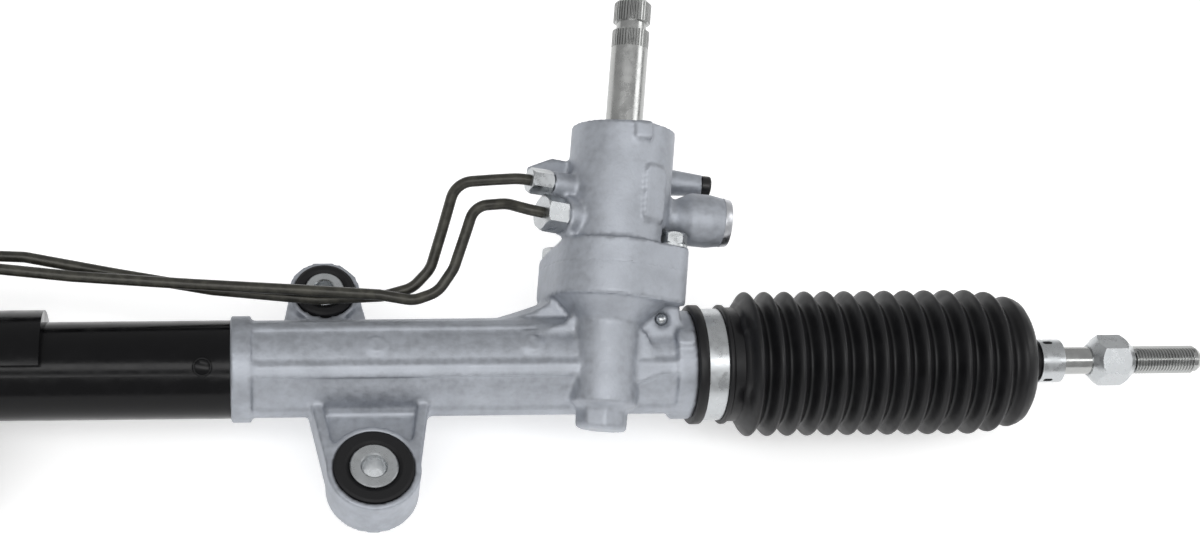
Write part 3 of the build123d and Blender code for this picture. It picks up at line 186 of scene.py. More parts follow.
class RackStake(bpy.types.PropertyGroup):
    """Where the tube is staked to the gear housing."""

    place: FloatProperty(name="Place", description="Distance from the pinion crossing", default=-197.5 * MM,
                         unit="LENGTH")
    turn: FloatProperty(name="Turn", description="Angle from the top towards the front", default=radians(29),
                        subtype="ANGLE")
    tube: FloatProperty(name="Tube radius", description="Radius of the tube", default=24.5 * MM,
                        unit="LENGTH")
    radius: FloatProperty(name="Radius", description="Outside radius of the rim", default=5.2 * MM,
                          unit="LENGTH")
    rim: FloatProperty(name="Rim width", description="Width of the raised rim", default=1.7 * MM,
                       unit="LENGTH")
    rise: FloatProperty(name="Rise", description="Height of the rim above the tube", default=0.7 * MM,
                        unit="LENGTH")
    sunk: FloatProperty(name="Sunk", description="How far the rim reaches into the tube", default=1.6 * MM,
                        unit="LENGTH")


class RackStage(bpy.types.PropertyGroup):
    """Camera and light."""

    place: FloatVectorProperty(name="Camera place", description="Where the camera stands",
                               default=(-0.05119, -0.44338, 0.80294), subtype="XYZ", unit="LENGTH")
    azimuth: FloatProperty(name="Azimuth", description="Turn of the camera about the vertical",
                           default=radians(-1.841), subtype="ANGLE")
    elevation: FloatProperty(name="Elevation", description="Height of the view above the horizon",
                             default=radians(54.632), subtype="ANGLE")
    roll: FloatProperty(name="Roll", description="Turn of the camera about its view", default=radians(0.950),
                        subtype="ANGLE")
    lens: FloatProperty(name="Lens", description="Focal length in mm on a 36 mm sensor", default=56.788)
    shift: FloatProperty(name="Shift", description="Sideways shift of the lens", default=0.25)
    world: FloatProperty(name="World", description="Strength of the even light from all round", default=0.56)
    horizon: FloatProperty(name="Horizon", description="Brightness of the surround's horizon", default=0.5)
    zenith: FloatProperty(name="Zenith", description="Brightness of the surround overhead", default=0.55)
    lamps: FloatProperty(name="Lamps", description="Strength of the soft lamps", default=1.0)


# Materials


def linear(hex_text):
    """The linear colour of an sRGB hex value."""
    values = [int(hex_text[i:i + 2], 16) / 255 for i in (0, 2, 4)]
    return [v / 12.92 if v <= 0.04045 else ((v + 0.055) / 1.055) ** 2.4 for v in values] + [1.0]


def shade(hex_text, factor):
    """The same hex colour made lighter or darker."""
    return [channel * factor for channel in linear(hex_text)[:3]] + [1.0]


def add(material, kind, inputs=None, **settings):
    """Adds a node with its settings; an input is a value or a (node, output) pair to link from."""
    tree = material.node_tree
    made = tree.nodes.new("ShaderNode" + kind)
    for key, value in settings.items():
        setattr(made, key, value)
    for key, value in (inputs or {}).items():
        if isinstance(value, tuple) and isinstance(value[0], bpy.types.Node):
            tree.links.new(value[0].outputs[value[1]], made.inputs[key])
        else:
            made.inputs[key].default_value = value
    return made


def new_material(name, **sockets):
    """A material and its shader, with plain values on the shader's sockets."""
    made = bpy.data.materials.new(name)
    made.use_nodes = True
    shader = made.node_tree.nodes["Principled BSDF"]
    for key, value in sockets.items():
        shader.inputs[key.replace("_", " ")].default_value = value
    return made, shader


def cloud(material, coordinates, size, detail=3.0):
    """A noise pattern whose blots are about size metres across."""
    inputs = {"Vector": (coordinates, "Object"), "Scale": 1 / size, "Detail": detail, "Roughness": 0.55}
    return add(material, "TexNoise", inputs)


def spread(material, source, output, low, high, start=0.35, end=0.65):
    """Stretches a pattern's middle range over the values from low to high."""
    inputs = {"Value": (source, output), "From Min": start, "From Max": end, "To Min": low, "To Max": high}
    return add(material, "MapRange", inputs)


def finish(material, shader, **links):
    """Links patterns to the shader's sockets."""
    for key, (source, output) in links.items():
        material.node_tree.links.new(source.outputs[output], shader.inputs[key.replace("_", " ")])
    return material


def colour_mix(material, factor, first, second):
    """A mix of two colours, with the sockets that the colour version of the node uses."""
    made = add(material, "Mix", data_type="RGBA")
    material.node_tree.links.new(factor[0].outputs[factor[1]], made.inputs[0])
    made.inputs[6].default_value = first
    made.inputs[7].default_value = second
    return made


def die_cast_aluminium(name, colour):
    """Die-cast aluminium, tumbled: a matt grey skin with a fine grain and cloudy flow marks."""
    made, shader = new_material(name, Metallic=0.82)
    place = add(made, "TexCoord")
    flow = cloud(made, place, 14 * MM)
    stain = cloud(made, place, 3.5 * MM, detail=4.0)
    both = add(made, "Math", {0: (flow, "Fac"), 1: (stain, "Fac")}, operation="ADD")
    level = spread(made, both, "Value", 0.0, 1.0, 0.75, 1.25)
    tone = colour_mix(made, (level, "Result"), shade(colour, 0.86), shade(colour, 1.1))
    rough = spread(made, stain, "Fac", 0.48, 0.62)
    grain = cloud(made, place, 0.9 * MM, detail=2.0)
    pits = cloud(made, place, 2.6 * MM, detail=2.0)
    height = add(made, "Math", {0: (pits, "Fac"), 1: 2.0, 2: (grain, "Fac")}, operation="MULTIPLY_ADD")
    bump = add(made, "Bump", {"Height": (height, "Value"), "Distance": 0.06 * MM, "Strength": 0.7})
    return finish(made, shader, Base_Color=(tone, 2), Roughness=(rough, "Result"), Normal=(bump, "Normal"))


def turned_metal(name, colour, axis, roughness, pitch=0.5 * MM):
    """Turned metal: bright, with fine rings left by the tool round the piece's axis, one each pitch.

    The rings are drawn coarser than real ones, so that they show. A band wave of scale s repeats each
    0.314 / s metres.
    """
    made, shader = new_material(name, Metallic=1.0)
    place = add(made, "TexCoord")
    turn = axis.inverted().to_euler()
    lay = add(made, "Mapping", {"Vector": (place, "Object"), "Rotation": turn[:]})
    lines = add(made, "TexWave", {"Vector": (lay, "Vector"), "Scale": 0.314 / pitch, "Distortion": 1.5,
                                  "Detail": 1.0}, wave_type="BANDS", bands_direction="Z")
    smear = cloud(made, place, 6 * MM)
    tone = colour_mix(made, (smear, "Fac"), shade(colour, 0.8), shade(colour, 1.15))
    rough = spread(made, smear, "Fac", roughness * 0.8, roughness * 1.35)
    bump = add(made, "Bump", {"Height": (lines, "Fac"), "Distance": 0.012 * MM, "Strength": 0.5})
    return finish(made, shader, Base_Color=(tone, 2), Roughness=(rough, "Result"), Normal=(bump, "Normal"))


def zinc_plate(name, colour):
    """Bright zinc plate on steel: silvery, with faint cloudy patches and soft handling marks."""
    made, shader = new_material(name, Metallic=1.0)
    place = add(made, "TexCoord")
    patch = cloud(made, place, 4 * MM)
    tone = colour_mix(made, (patch, "Fac"), shade(colour, 0.82), shade(colour, 1.12))
    rough = spread(made, patch, "Fac", 0.22, 0.40)
    dents = cloud(made, place, 1.4 * MM)
    bump = add(made, "Bump", {"Height": (dents, "Fac"), "Distance": 0.03 * MM, "Strength": 0.5})
    return finish(made, shader, Base_Color=(tone, 2), Roughness=(rough, "Result"), Normal=(bump, "Normal"))


def gloss_paint(name, colour):
    """Black gloss paint on steel: deep black with soft reflections and faint orange peel."""
    made, shader = new_material(name, Metallic=0.0, Specular_IOR_Level=0.18)
    place = add(made, "TexCoord")
    dust = cloud(made, place, 9 * MM)
    tone = colour_mix(made, (dust, "Fac"), shade(colour, 0.6), shade(colour, 1.3))
    rough = spread(made, dust, "Fac", 0.14, 0.26)
    peel = cloud(made, place, 2.2 * MM, detail=1.0)
    bump = add(made, "Bump", {"Height": (peel, "Fac"), "Distance": 0.03 * MM, "Strength": 0.35})
    return finish(made, shader, Base_Color=(tone, 2), Roughness=(rough, "Result"), Normal=(bump, "Normal"))


def coated_pipe(name, colour):
    """Steel pipe with a thin dark olive coating: half metallic, smooth, with lighter rubbed streaks."""
    made, shader = new_material(name, Metallic=0.35)
    place = add(made, "TexCoord")
    rub = cloud(made, place, 5 * MM, detail=4.0)
    level = spread(made, rub, "Fac", 0.0, 1.0, 0.4, 0.7)
    tone = colour_mix(made, (level, "Result"), linear(colour), shade(colour, 2.2))
    rough = spread(made, rub, "Fac", 0.28, 0.42)
    bump = add(made, "Bump", {"Height": (rub, "Fac"), "Distance": 0.05 * MM, "Strength": 0.4})
    return finish(made, shader, Base_Color=(tone, 2), Roughness=(rough, "Result"), Normal=(bump, "Normal"))


def moulded_rubber(name, colour, roughness):
    """Moulded black rubber: a satin bloom that varies, over a very fine mould texture."""
    made, shader = new_material(name, Metallic=0.0, Specular_IOR_Level=0.32)
    place = add(made, "TexCoord")
    bloom = cloud(made, place, 11 * MM)
    tone = colour_mix(made, (bloom, "Fac"), shade(colour, 0.7), shade(colour, 1.9))
    rough = spread(made, bloom, "Fac", roughness - 0.05, roughness + 0.08)
    grain = cloud(made, place, 0.8 * MM, detail=2.0)
    bump = add(made, "Bump", {"Height": (grain, "Fac"), "Distance": 0.03 * MM, "Strength": 0.4})
    return finish(made, shader, Base_Color=(tone, 2), Roughness=(rough, "Result"), Normal=(bump, "Normal"))


def moulded_plastic(name, colour, roughness):
    """Injection-moulded plastic: an even colour with a fine spark-eroded texture."""
    made, shader = new_material(name, Metallic=0.0)
    place = add(made, "TexCoord")
    flow = cloud(made, place, 7 * MM)
    tone = colour_mix(made, (flow, "Fac"), shade(colour, 0.85), shade(colour, 1.15))
    rough = spread(made, flow, "Fac", roughness - 0.05, roughness + 0.05)
    grain = cloud(made, place, 0.6 * MM, detail=1.0)
    bump = add(made, "Bump", {"Height": (grain, "Fac"), "Distance": 0.02 * MM, "Strength": 0.4})
    return finish(made, shader, Base_Color=(tone, 2), Roughness=(rough, "Result"), Normal=(bump, "Normal"))


# The rack's materials by name, filled when the first is asked for
MATERIALS = {}


def material(name):
    """One of the rack's materials by its name."""
    if not MATERIALS:
        colours = bpy.context.scene.rack_finishes
        MATERIALS.update(
            casting=die_cast_aluminium("die_cast_aluminium", colours.casting),
            machined=turned_metal("machined_aluminium", colours.machined, SHAFT, 0.3),
            rack_steel=turned_metal("turned_tie_rod_steel", colours.steel, RACK, 0.2),
            shaft_steel=turned_metal("turned_shaft_steel", colours.steel, SHAFT, 0.24),
            zinc=zinc_plate("bright_zinc_plate", colours.zinc),
            paint=gloss_paint("gloss_black_enamel", colours.paint),
            pipe=coated_pipe("olive_coated_steel", colours.pipe),
            bellows=moulded_rubber("satin_bellows_rubber", colours.rubber, 0.42),
            bush=moulded_rubber("matt_bush_rubber", colours.rubber, 0.6),
            seal=moulded_rubber("nitrile_seal_rubber", colours.rubber, 0.5),
            plug=moulded_plastic("black_polyamide", colours.plug, 0.38),
            nylon=moulded_plastic("natural_nylon", colours.nylon, 0.45),
            bronze=turned_metal("sintered_bronze", colours.bronze, RACK, 0.4),
            spring=turned_metal("oiled_spring_wire", colours.wire, RACK, 0.3),
        )
    return MATERIALS[name]


# The finish of each CAD node, by its name or by the start or end of it
NODE_MATERIALS = {
    "valve_housing_bolts": "zinc",
    "housing_seal": "seal",
    "gallery_ball_plug": "zinc",
    "return_port_plug": "plug",
    "rack_guide": "machined",
    "rack_guide_spring": "spring",
    "rack_guide_plug": "zinc",
    "rack_guide_lock_nut": "zinc",
    "rack_bar": "rack_steel",
    "rack_bushing": "bronze",
    "pinion": "shaft_steel",
    "pinion_lower_bearing": "bronze",
    "pinion_upper_bearing": "shaft_steel",
    "pinion_bearing_nut": "shaft_steel",
    "valve_sleeve": "shaft_steel",
    "valve_sleeve_rings": "nylon",
    "torsion_bar": "shaft_steel",
    "input_shaft": "shaft_steel",
    "input_shaft_bearing": "shaft_steel",
    "input_shaft_seal": "seal",
    "input_shaft_snap_ring": "shaft_steel",
    "cylinder_tube": "paint",
    "cylinder_bracket": "paint",
    "cylinder_end_seal": "seal",
    "cylinder_pipe_nuts": "zinc",
    "rod_guide": "machined",
    "rod_seal": "seal",
    "piston": "rack_steel",
    "piston_ring": "nylon",
    "upper_pipe": "pipe",
    "lower_pipe": "pipe",
    "upper_pipe_nut": "zinc",
    "lower_pipe_nut": "zinc",
    "ball_socket": "rack_steel",
    "ball_seat": "nylon",
    "stop_washer": "zinc",
    "tie_rod": "rack_steel",
    "lock_nut": "zinc",
    "neck_clamp": "zinc",
    "bellows_clamp": "zinc",
    "_rubber": "bush",
    "_sleeve": "zinc",
}


# Making and placing pieces


def new_piece(name, mesh_builder, finish_name, body=None):
    """An object from a finished bmesh, shaded smooth, with its material and the body that it rides on."""
    mesh = bpy.data.meshes.new(name)
    mesh_builder.to_mesh(mesh)
    mesh_builder.free()
    piece = bpy.data.objects.new(name, mesh)
    bpy.context.scene.collection.objects.link(piece)
    mesh.materials.append(material(finish_name))
    mesh.shade_smooth()
    if body:
        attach(piece, body)
    return piece


def crisp(piece, angle=32):
    """Keeps edges sharper than an angle from being shaded over."""
    piece.data.set_sharp_from_angle(angle=radians(angle))
    return piece


def loop_of(builder, points):
    """The vertices and edges of a closed outline of (radius, height) points in the X-Z plane."""
    verts = [builder.verts.new((radius, 0, height)) for radius, height in points]
    edges = [builder.edges.new(pair) for pair in zip(verts, verts[1:])]
    edges.append(builder.edges.new((verts[-1], verts[0])))
    return verts + edges


def spun(points, place, segments=96, carve=None):
    """A solid of revolution about a frame's Z axis, from (radius, height) points, carved if asked."""
    builder = bmesh.new()
    outline = loop_of(builder, points)
    bmesh.ops.spin(builder, geom=outline, cent=(0, 0, 0), axis=(0, 0, 1), angle=2 * pi, steps=segments,
                   use_merge=True)
    bmesh.ops.remove_doubles(builder, verts=builder.verts, dist=1e-6)
    bmesh.ops.dissolve_degenerate(builder, edges=builder.edges, dist=1e-7)
    for vert in builder.verts if carve else ():
        vert.co = carve(vert.co)
    bmesh.ops.transform(builder, matrix=place, verts=builder.verts)
    bmesh.ops.recalc_face_normals(builder, faces=builder.faces)
    return builder


# Each pass that rounds the cast edges is followed by one that swells the casting back to its size
ROUND_AND_SWELL = (0.5, -0.52, 0.5, -0.5)

# A casting's corners this near its joint face belong to the face
SEAM_REACH = 0.2 * MM


def cast_skin(node, name, over_seam=0.0):
    """Makes a copy of a CAD casting, skinned afresh so that its edges are round as cast ones are.

    Its joint face is first moved along the pinion shaft by over_seam, so that the rounding is hidden in the
    other casting and the joint stays tight.
    """
    sizes = bpy.context.scene.rack_casting
    mesh = NODES[node].data.copy()
    builder = bmesh.new()
    builder.from_mesh(mesh)
    bmesh.ops.remove_doubles(builder, verts=builder.verts, dist=1e-6)
    to_shaft = SHAFT.inverted()
    for vert in builder.verts:
        if abs((to_shaft @ vert.co).z - sizes.seam) < SEAM_REACH:
            vert.co += SHAFT_UP * over_seam
    piece = new_piece(name, builder, "casting")
    skin = piece.modifiers.new("Skin", "REMESH")
    skin.mode = "VOXEL"
    skin.voxel_size = sizes.grain
    for factor in ROUND_AND_SWELL:
        smooth = piece.modifiers.new("Rounding", "SMOOTH")
        smooth.factor = factor
        smooth.iterations = sizes.rounding
    graph = bpy.context.evaluated_depsgraph_get()
    finished = bpy.data.meshes.new_from_object(piece.evaluated_get(graph))
    piece.modifiers.clear()
    piece.data = finished
    finished.name = name
    finished.materials.clear()
    finished.materials.append(material("casting"))
    finished.shade_smooth()
    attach(piece, "housing")
    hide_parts(node)


class RackCastingsOperator(bpy.types.Operator):
    """Skin the gear housing, the valve housing and the end cap as castings."""

    bl_idname = "rack.castings"
    bl_label = "Castings"

    def execute(self, context):
        overlap = context.scene.rack_casting.overlap
        cast_skin("gear_housing", "gear_casting", overlap)
        cast_skin("valve_housing", "valve_casting", -overlap)
        cast_skin("cylinder_end_cap", "end_cap_casting")
        return {"FINISHED"}


# The bellows' ends as (radius, place) in mm: the cuff from the pinion crossing, the dome from the last fold
CUFF_OUTSIDE = (
    (24.45, 43.6), (29.2, 43.6), (29.75, 44.2), (29.75, 48.0), (29.2, 48.5), (27.0, 48.5), (27.0, 58.5),
    (29.2, 58.5), (29.75, 59.1), (29.75, 60.4), (29.2, 61.0), (28.5, 61.3), (28.4, 62.5), (28.4, 66.0),
)
CUFF_INSIDE = ((24.45, 43.6), (24.45, 62.5), (25.6, 63.0), (25.8, 66.0))
DOME = (
    (31.6, 2.2), (30.4, 4.2), (27.6, 6.1), (23.2, 7.7), (17.0, 9.0), (11.6, 10.0), (9.9, 11.2), (9.6, 12.8),
    (9.6, 26.8), (9.2, 27.4), (7.1, 27.4),
)

# The dome's wall and the neck's bore in mm, the points on each fold, and what a pocket needs of the cuff
DOME_WALL = 2.0
DOME_STEP = 0.8
NECK_BORE = 6.95
NECK_LENGTH = 27.0
FOLD_STEPS = 20
CUFF_SURFACE = 27.6
POCKET_SLOPE = 2.2

# The shoulder stretch, in folds: its start from the end, and its length
SHOULDER_START = 3.5
SHOULDER_LENGTH = 2


def fold_radius(x, sizes):
    """The outside radius of the bellows' folds at a place along them, the last folds being smaller."""
    number = (x - sizes.first) / sizes.pitch
    last = sizes.folds - 1
    shrink = max(0.0, number - (last - sizes.tapered)) / sizes.tapered
    peak = sizes.peak - sizes.peak_drop * shrink ** 2
    valley = sizes.valley - sizes.valley_drop * shrink
    wave = 0.5 + 0.5 * cos(2 * pi * number)
    return valley + (peak - valley) * wave ** sizes.sharpness


def cuff_pockets(point):
    """Sinks shallow pockets into the cuff's outside, just before the first fold."""
    sizes = bpy.context.scene.rack_bellows
    reach = point.xy.length
    along = max(0.0, 1 - abs(point.z - sizes.pocket_place) / sizes.pocket_half)
    around = max(0.0, cos(sizes.pockets * (atan2(point.y, point.x) + sizes.pocket_turn)))
    if reach < CUFF_SURFACE * MM or not along:
        return point
    depth = sizes.pocket * min(1.0, POCKET_SLOPE * along) * around ** 3
    return Vector((point.x * (1 - depth / reach), point.y * (1 - depth / reach), point.z))


def bellows_lines(sizes):
    """The outside and the inside of the bellows, as (radius, X) points from the housing to the neck."""
    start = sizes.first - sizes.pitch / 2
    end = sizes.first + (sizes.folds - 1) * sizes.pitch
    outside = [(radius * MM, x * MM) for radius, x in CUFF_OUTSIDE]
    inside = [(radius * MM, x * MM) for radius, x in CUFF_INSIDE]
    steps = round((end - start) / sizes.pitch * FOLD_STEPS)
    for number in range(steps + 1):
        x = start + (end - start) * number / steps
        radius = fold_radius(x, sizes)
        outside.append((radius, x))
        inside.append((radius - sizes.skin, x))
    for radius, offset in DOME:
        outside.append((radius * MM, end + offset * MM))
        bore = max(radius - DOME_WALL, NECK_BORE)
        inside.append((bore * MM, end + min(offset - DOME_STEP, NECK_LENGTH) * MM))
    return outside, inside


def bellows_part(name, outside, inside, low, high, mirrored):
    """One stretch of the bellows as a closed shell, between two places along it."""
    chosen = [[p for p in line if low - 1e-6 <= p[1] <= high + 1e-6] for line in (outside, inside)]
    builder = spun(chosen[0] + chosen[1][::-1], RACK, carve=None if low else cuff_pockets)
    if mirrored:
        bmesh.ops.transform(builder, matrix=MIRROR, verts=builder.verts)
        bmesh.ops.recalc_face_normals(builder, faces=builder.faces)
    piece = new_piece(name, builder, "bellows")
    return crisp(piece, 50)


class RackBellowsOperator(bpy.types.Operator):
    """Make both bellows, each in three stretches: the folds, the shoulder and the neck."""

    bl_idname = "rack.bellows"
    bl_label = "Bellows"

    def execute(self, context):
        sizes = context.scene.rack_bellows
        outside, inside = bellows_lines(sizes)
        bounce = sizes.first + (sizes.folds - SHOULDER_START) * sizes.pitch
        steer = bounce + SHOULDER_LENGTH * sizes.pitch
        for side in SIDES:
            left = side == "left"
            stretches = (
                ("folds", 0.0, bounce, sizes.still, bounce, "housing", "rack"),
                ("shoulder", bounce, steer, bounce, steer, "rack", f"ball_seat_{side}"),
                ("neck", steer, 1.0, steer, sizes.grip, f"ball_seat_{side}", f"tie_rod_{side}"),
            )
            for label, low, high, first, last, before, after in stretches:
                piece = bellows_part(f"bellows_{label}_{side}", outside, inside, low, high, left)
                ends = [RACK @ Vector((0, 0, x)) for x in (first, last)]
                if left:
                    ends = [MIRROR @ point for point in ends]
                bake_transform(piece)
                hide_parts(f"bellows_{side}")
        return {"FINISHED"}


# The thread's foot below the core's surface, its half width as a share of the pitch, and its steps a turn
THREAD_SINK = 0.15 * MM
THREAD_HALF = 0.46
THREAD_STEPS = 28

# The ball's outline is drawn in steps of some degrees, up to where the neck starts
BALL_STEPS = 14
BALL_STEP = 10.5

# The plain rod's end and the core's start at the lock nut, the point's length and depth, and the turns' ends
ROD_EDGE = 0.6 * MM
CORE_EDGE = 0.4 * MM
POINT_LENGTH = 1.6 * MM
POINT_DEPTH = 1.1 * MM
FIRST_TURN = 1.2 * MM
LAST_TURN = 1.4 * MM


def thread_ridge(builder, sizes, start, end):
    """A closed ridge of triangular section, wound round the Z axis as the thread, its foot in the core."""
    foot, half = sizes.radius - sizes.depth - THREAD_SINK, sizes.pitch * THREAD_HALF
    section = [builder.verts.new(place) for place in
               ((foot, 0, start - half), (sizes.radius, 0, start), (foot, 0, start + half))]
    face = builder.faces.new(section)
    turns = int((end - start) / sizes.pitch)
    steps = turns * THREAD_STEPS
    bmesh.ops.spin(builder, geom=[*section, *face.edges, face], cent=(0, 0, 0), axis=(0, 0, 1),
                   dvec=(0, 0, sizes.pitch * turns / steps), angle=2 * pi * turns, steps=steps)


def tie_rod_mesh(sizes):
    """The tie rod in the rack's frame: its ball, neck, plain stretch, thread core and thread."""
    centre = (RACK.inverted() @ BALL_RIGHT).z
    core = sizes.radius - sizes.depth
    points = [(0, centre - sizes.ball)]
    for number in range(1, BALL_STEPS + 1):
        angle = radians(number * BALL_STEP - 90)
        points.append((sizes.ball * cos(angle), centre + sizes.ball * sin(angle)))
    points += [
        (sizes.neck, centre + sqrt(sizes.ball ** 2 - sizes.neck ** 2)),
        (sizes.neck, centre + sizes.neck_length),
        (sizes.rod, centre + sizes.rod_start),
        (sizes.rod, sizes.start - ROD_EDGE),
        (core, sizes.start + CORE_EDGE),
        (core, sizes.end - POINT_LENGTH),
        (core - POINT_DEPTH, sizes.end),
        (0, sizes.end),
    ]
    builder = spun(points, Matrix.Identity(4), segments=64)
    thread_ridge(builder, sizes, sizes.start + FIRST_TURN, sizes.end - LAST_TURN)
    bmesh.ops.recalc_face_normals(builder, faces=builder.faces)
    return builder


class RackTieRodsOperator(bpy.types.Operator):
    """Make both tie rods with their thread."""

    bl_idname = "rack.tie_rods"
    bl_label = "Tie rods"

    def execute(self, context):
        for side in SIDES:
            builder = tie_rod_mesh(context.scene.rack_tie_rod)
            place = RACK if side == "right" else MIRROR @ RACK
            bmesh.ops.transform(builder, matrix=place, verts=builder.verts)
            bmesh.ops.recalc_face_normals(builder, faces=builder.faces)
            name = f"threaded_tie_rod_{side}"
            piece = crisp(new_piece(name, builder, "rack_steel", f"tie_rod_{side}"), 30)
            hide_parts(f"tie_rod_{side}")
        return {"FINISHED"}


class RackStakeOperator(bpy.types.Operator):
    """Make the raised rim that the punch left round the tube's stake mark."""

    bl_idname = "rack.stake"
    bl_label = "Stake mark"

    def execute(self, context):
        sizes = context.scene.rack_stake
        out = Vector((0, -sin(sizes.turn), cos(sizes.turn)))
        place = axis_frame(RACK @ Vector((0, 0, sizes.place)) + out * sizes.tube, out, (1, 0, 0))
        outer = sizes.radius
        inner = outer - sizes.rim
        crest = (inner + outer) / 2
        outline = [(inner, -sizes.sunk), (inner + 0.2 * MM, sizes.rise * 0.6), (crest, sizes.rise),
                   (outer - 0.3 * MM, 0), (outer, -sizes.sunk)]
        piece = new_piece("stake_rim", spun(outline, place, segments=48), "paint", "housing")
        return {"FINISHED"}


# The pressure port's face as (radius, height) in mm, the height from the middle of the port's thread
PORT_FACE = ((9.7, 4.6), (12.2, 4.6), (11.7, 7.6), (11.3, 8.15), (9.9, 8.15), (9.7, 7.9))


class RackPortRingOperator(bpy.types.Operator):
    """Make the machined face of the pressure port, a bright ring on the casting's mouth."""

    bl_idname = "rack.port_ring"
    bl_label = "Port face"

    def execute(self, context):
        port = MOUNTS["pressure_port"]
        place = axis_frame(port["pos_m"], port["axis"], SHAFT_UP)
        outline = [(radius * MM, height * MM) for radius, height in PORT_FACE]
        piece = crisp(new_piece("port_face", spun(outline, place, segments=64), "machined", "housing"))
        return {"FINISHED"}


class RackFinishOperator(bpy.types.Operator):
    """Give every carried-over piece its material."""

    bl_idname = "rack.finish_nodes"
    bl_label = "Finishes"

    def execute(self, context):
        for name, node in NODES.items():
            match = [key for key in NODE_MATERIALS if name.startswith(key) or name.endswith(key)]
            if not match:
                continue
            node.data.materials.clear()
            node.data.materials.append(material(NODE_MATERIALS[max(match, key=len)]))
        return {"FINISHED"}


# Each soft lamp's place, width and depth in metres, and power in watts
LAMPS = {
    "overhead_strip": ((0.0, -0.6, 1.45), (2.4, 0.4), 11),
    "front_strip": ((-0.4, -1.3, 1.35), (1.4, 0.3), 4),
    "side_softbox": ((1.6, 0.1, 0.9), (0.6, 0.8), 4),
}
LAMP_AIM = RACK_MIDDLE + Vector((0.25, 0, 0))

# The floor's half width in metres, its place under the rack, its colour and its glow to the camera
FLOOR_HALF = 6.0
FLOOR_GAP = 1 * MM
FLOOR_GREY = (0.86, 0.86, 0.86, 1)
FLOOR_GLOW = 0.36
WHITE = (1, 1, 1, 1)


def soft_lamp(name, place, size, power):
    """A large rectangular lamp that points at the half of the rack that the camera sees."""
    data = bpy.data.lights.new(name, "AREA")
    data.shape = "RECTANGLE"
    data.size, data.size_y = size
    data.energy = power
    lamp = bpy.data.objects.new(name, data)
    lamp.location = place
    lamp.rotation_euler = (LAMP_AIM - Vector(place)).to_track_quat("-Z", "Y").to_euler()
    bpy.context.scene.collection.objects.link(lamp)


def stage_floor():
    """A pale floor that looks white to the camera and keeps the rack's soft shadow."""
    builder = bmesh.new()
    bmesh.ops.create_grid(builder, x_segments=1, y_segments=1, size=FLOOR_HALF)
    bmesh.ops.translate(builder, vec=(0, 0, CAD_BOX[0].z - FLOOR_GAP), verts=builder.verts)
    mesh = bpy.data.meshes.new("floor")
    builder.to_mesh(mesh)
    builder.free()
    floor = bpy.data.objects.new("floor", mesh)
    bpy.context.scene.collection.objects.link(floor)
    made, shader = new_material("matt_studio_floor", Roughness=0.9)
    shader.inputs["Base Color"].default_value = FLOOR_GREY
    white = add(made, "BsdfDiffuse", {"Color": WHITE})
    glow = add(made, "Emission", {"Color": WHITE, "Strength": FLOOR_GLOW})
    bright = add(made, "AddShader", {0: (white, "BSDF"), 1: (glow, "Emission")})
    seen = seen_rays(made)
    mixed = add(made, "MixShader", {0: (seen, "Value"), 1: (shader, "BSDF"), 2: (bright, "Shader")})
    output = made.node_tree.nodes["Material Output"]
    made.node_tree.links.new(mixed.outputs[0], output.inputs["Surface"])
    mesh.materials.append(made)


def seen_rays(made):
    """1 for camera rays and for rays reflected or refracted sharply, 0 for the others."""
    rays = add(made, "LightPath")
    first = add(made, "Math", {0: (rays, "Is Camera Ray"), 1: (rays, "Is Glossy Ray")}, operation="MAXIMUM")
    return add(made, "Math", {0: (first, "Value"), 1: (rays, "Is Transmission Ray")}, operation="MAXIMUM")


def stage_world(sizes):
    """An even light from all round, and a pale surround that the camera and reflections see instead."""
    world = bpy.data.worlds.new("studio")
    bpy.context.scene.world = world
    world.use_nodes = True
    back = world.node_tree.nodes["Background"]
    back.inputs["Color"].default_value = WHITE
    place = add(world, "TexCoord")
    up = add(world, "SeparateXYZ", {0: (place, "Generated")})
    sky = add(world, "MapRange", {"Value": (up, "Z"), "From Min": 0.08, "From Max": 0.5,
                                  "To Min": sizes.horizon, "To Max": sizes.zenith})
    seen = seen_rays(world)
    level = add(world, "Mix", {"Factor": (seen, "Value"), "A": sizes.world, "B": (sky, "Result")})
    world.node_tree.links.new(level.outputs["Result"], back.inputs["Strength"])


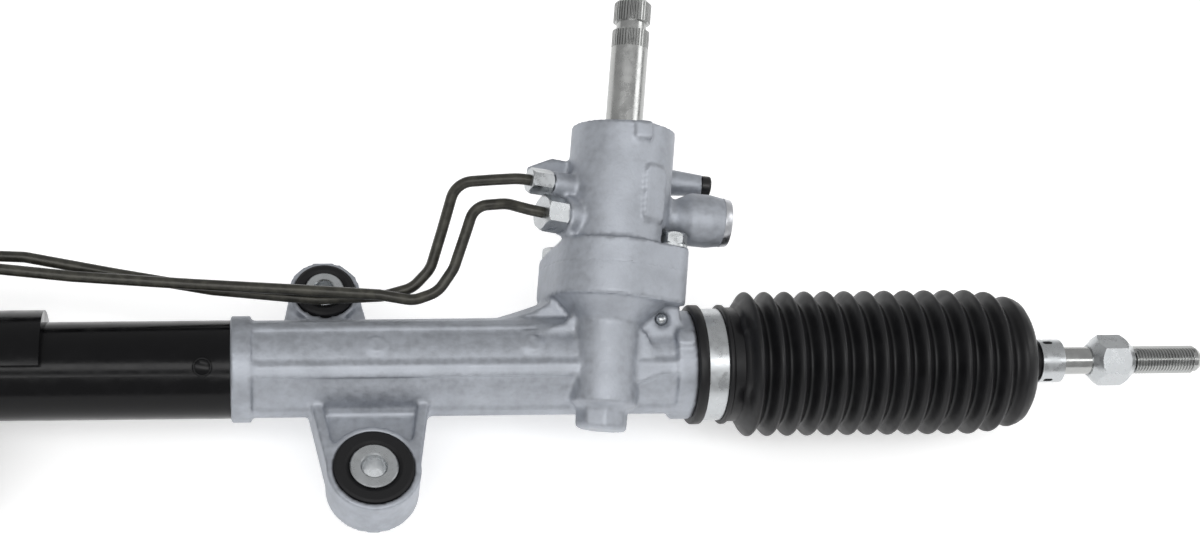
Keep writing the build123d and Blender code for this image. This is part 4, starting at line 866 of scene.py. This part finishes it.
class RackStageOperator(bpy.types.Operator):
    """Set up the floor, the soft lamps and the camera."""

    bl_idname = "rack.stage"
    bl_label = "Stage"

    def execute(self, context):
        sizes = context.scene.rack_stage
        context.scene.view_settings.view_transform = "Standard"
        stage_floor()
        stage_world(sizes)
        for name, (place, size, power) in LAMPS.items():
            soft_lamp(name, place, size, power * sizes.lamps)
        data = bpy.data.cameras.new("photo_camera")
        data.lens = sizes.lens
        data.sensor_width = 36.0
        data.shift_x = sizes.shift
        data.clip_start, data.clip_end = 0.05, 50.0
        camera = bpy.data.objects.new("photo_camera", data)
        turn = Matrix.Rotation(sizes.azimuth, 4, "Z") @ Matrix.Rotation(pi / 2 - sizes.elevation, 4, "X")
        camera.matrix_world = Matrix.Translation(sizes.place) @ turn @ Matrix.Rotation(sizes.roll, 4, "Z")
        context.scene.collection.objects.link(camera)
        context.scene.camera = camera
        return {"FINISHED"}


class RackPanel(bpy.types.Panel):
    """Lists the rack's pieces and their sizes in the 3D view's sidebar."""

    bl_label = "Steering rack"
    bl_idname = "VIEW3D_PT_steering_rack"
    bl_space_type = "VIEW_3D"
    bl_region_type = "UI"
    bl_category = "Steering rack"

    def draw(self, context):
        for group in GROUPS:
            for key in getattr(context.scene, group).bl_rna.properties.keys():
                if key not in ("rna_type", "name"):
                    self.layout.prop(getattr(context.scene, group), key)
        for operator in OPERATORS:
            self.layout.operator(operator.bl_idname)


GROUPS = {
    "rack_finishes": RackFinishes,
    "rack_bellows": RackBellows,
    "rack_casting": RackCasting,
    "rack_tie_rod": RackTieRod,
    "rack_stake": RackStake,
    "rack_stage": RackStage,
}
OPERATORS = (
    RackFinishOperator,
    RackCastingsOperator,
    RackBellowsOperator,
    RackTieRodsOperator,
    RackStakeOperator,
    RackPortRingOperator,
    RackStageOperator,
)


def register():
    """Registers the classes and their settings."""
    for name, group in GROUPS.items():
        bpy.utils.register_class(group)
        setattr(bpy.types.Scene, name, PointerProperty(type=group))
    for operator in OPERATORS:
        bpy.utils.register_class(operator)
    bpy.utils.register_class(RackPanel)


def unregister():
    """Removes the classes and their settings."""
    bpy.utils.unregister_class(RackPanel)
    for operator in reversed(OPERATORS):
        bpy.utils.unregister_class(operator)
    for name, group in GROUPS.items():
        delattr(bpy.types.Scene, name)
        bpy.utils.unregister_class(group)


def main():
    """Runs the operators in order."""
    register()
    bpy.ops.rack.finish_nodes()
    bpy.ops.rack.castings()
    bpy.ops.rack.bellows()
    bpy.ops.rack.tie_rods()
    bpy.ops.rack.stake()
    bpy.ops.rack.port_ring()
    bpy.ops.rack.stage()


if __name__ == "__main__":
    main()
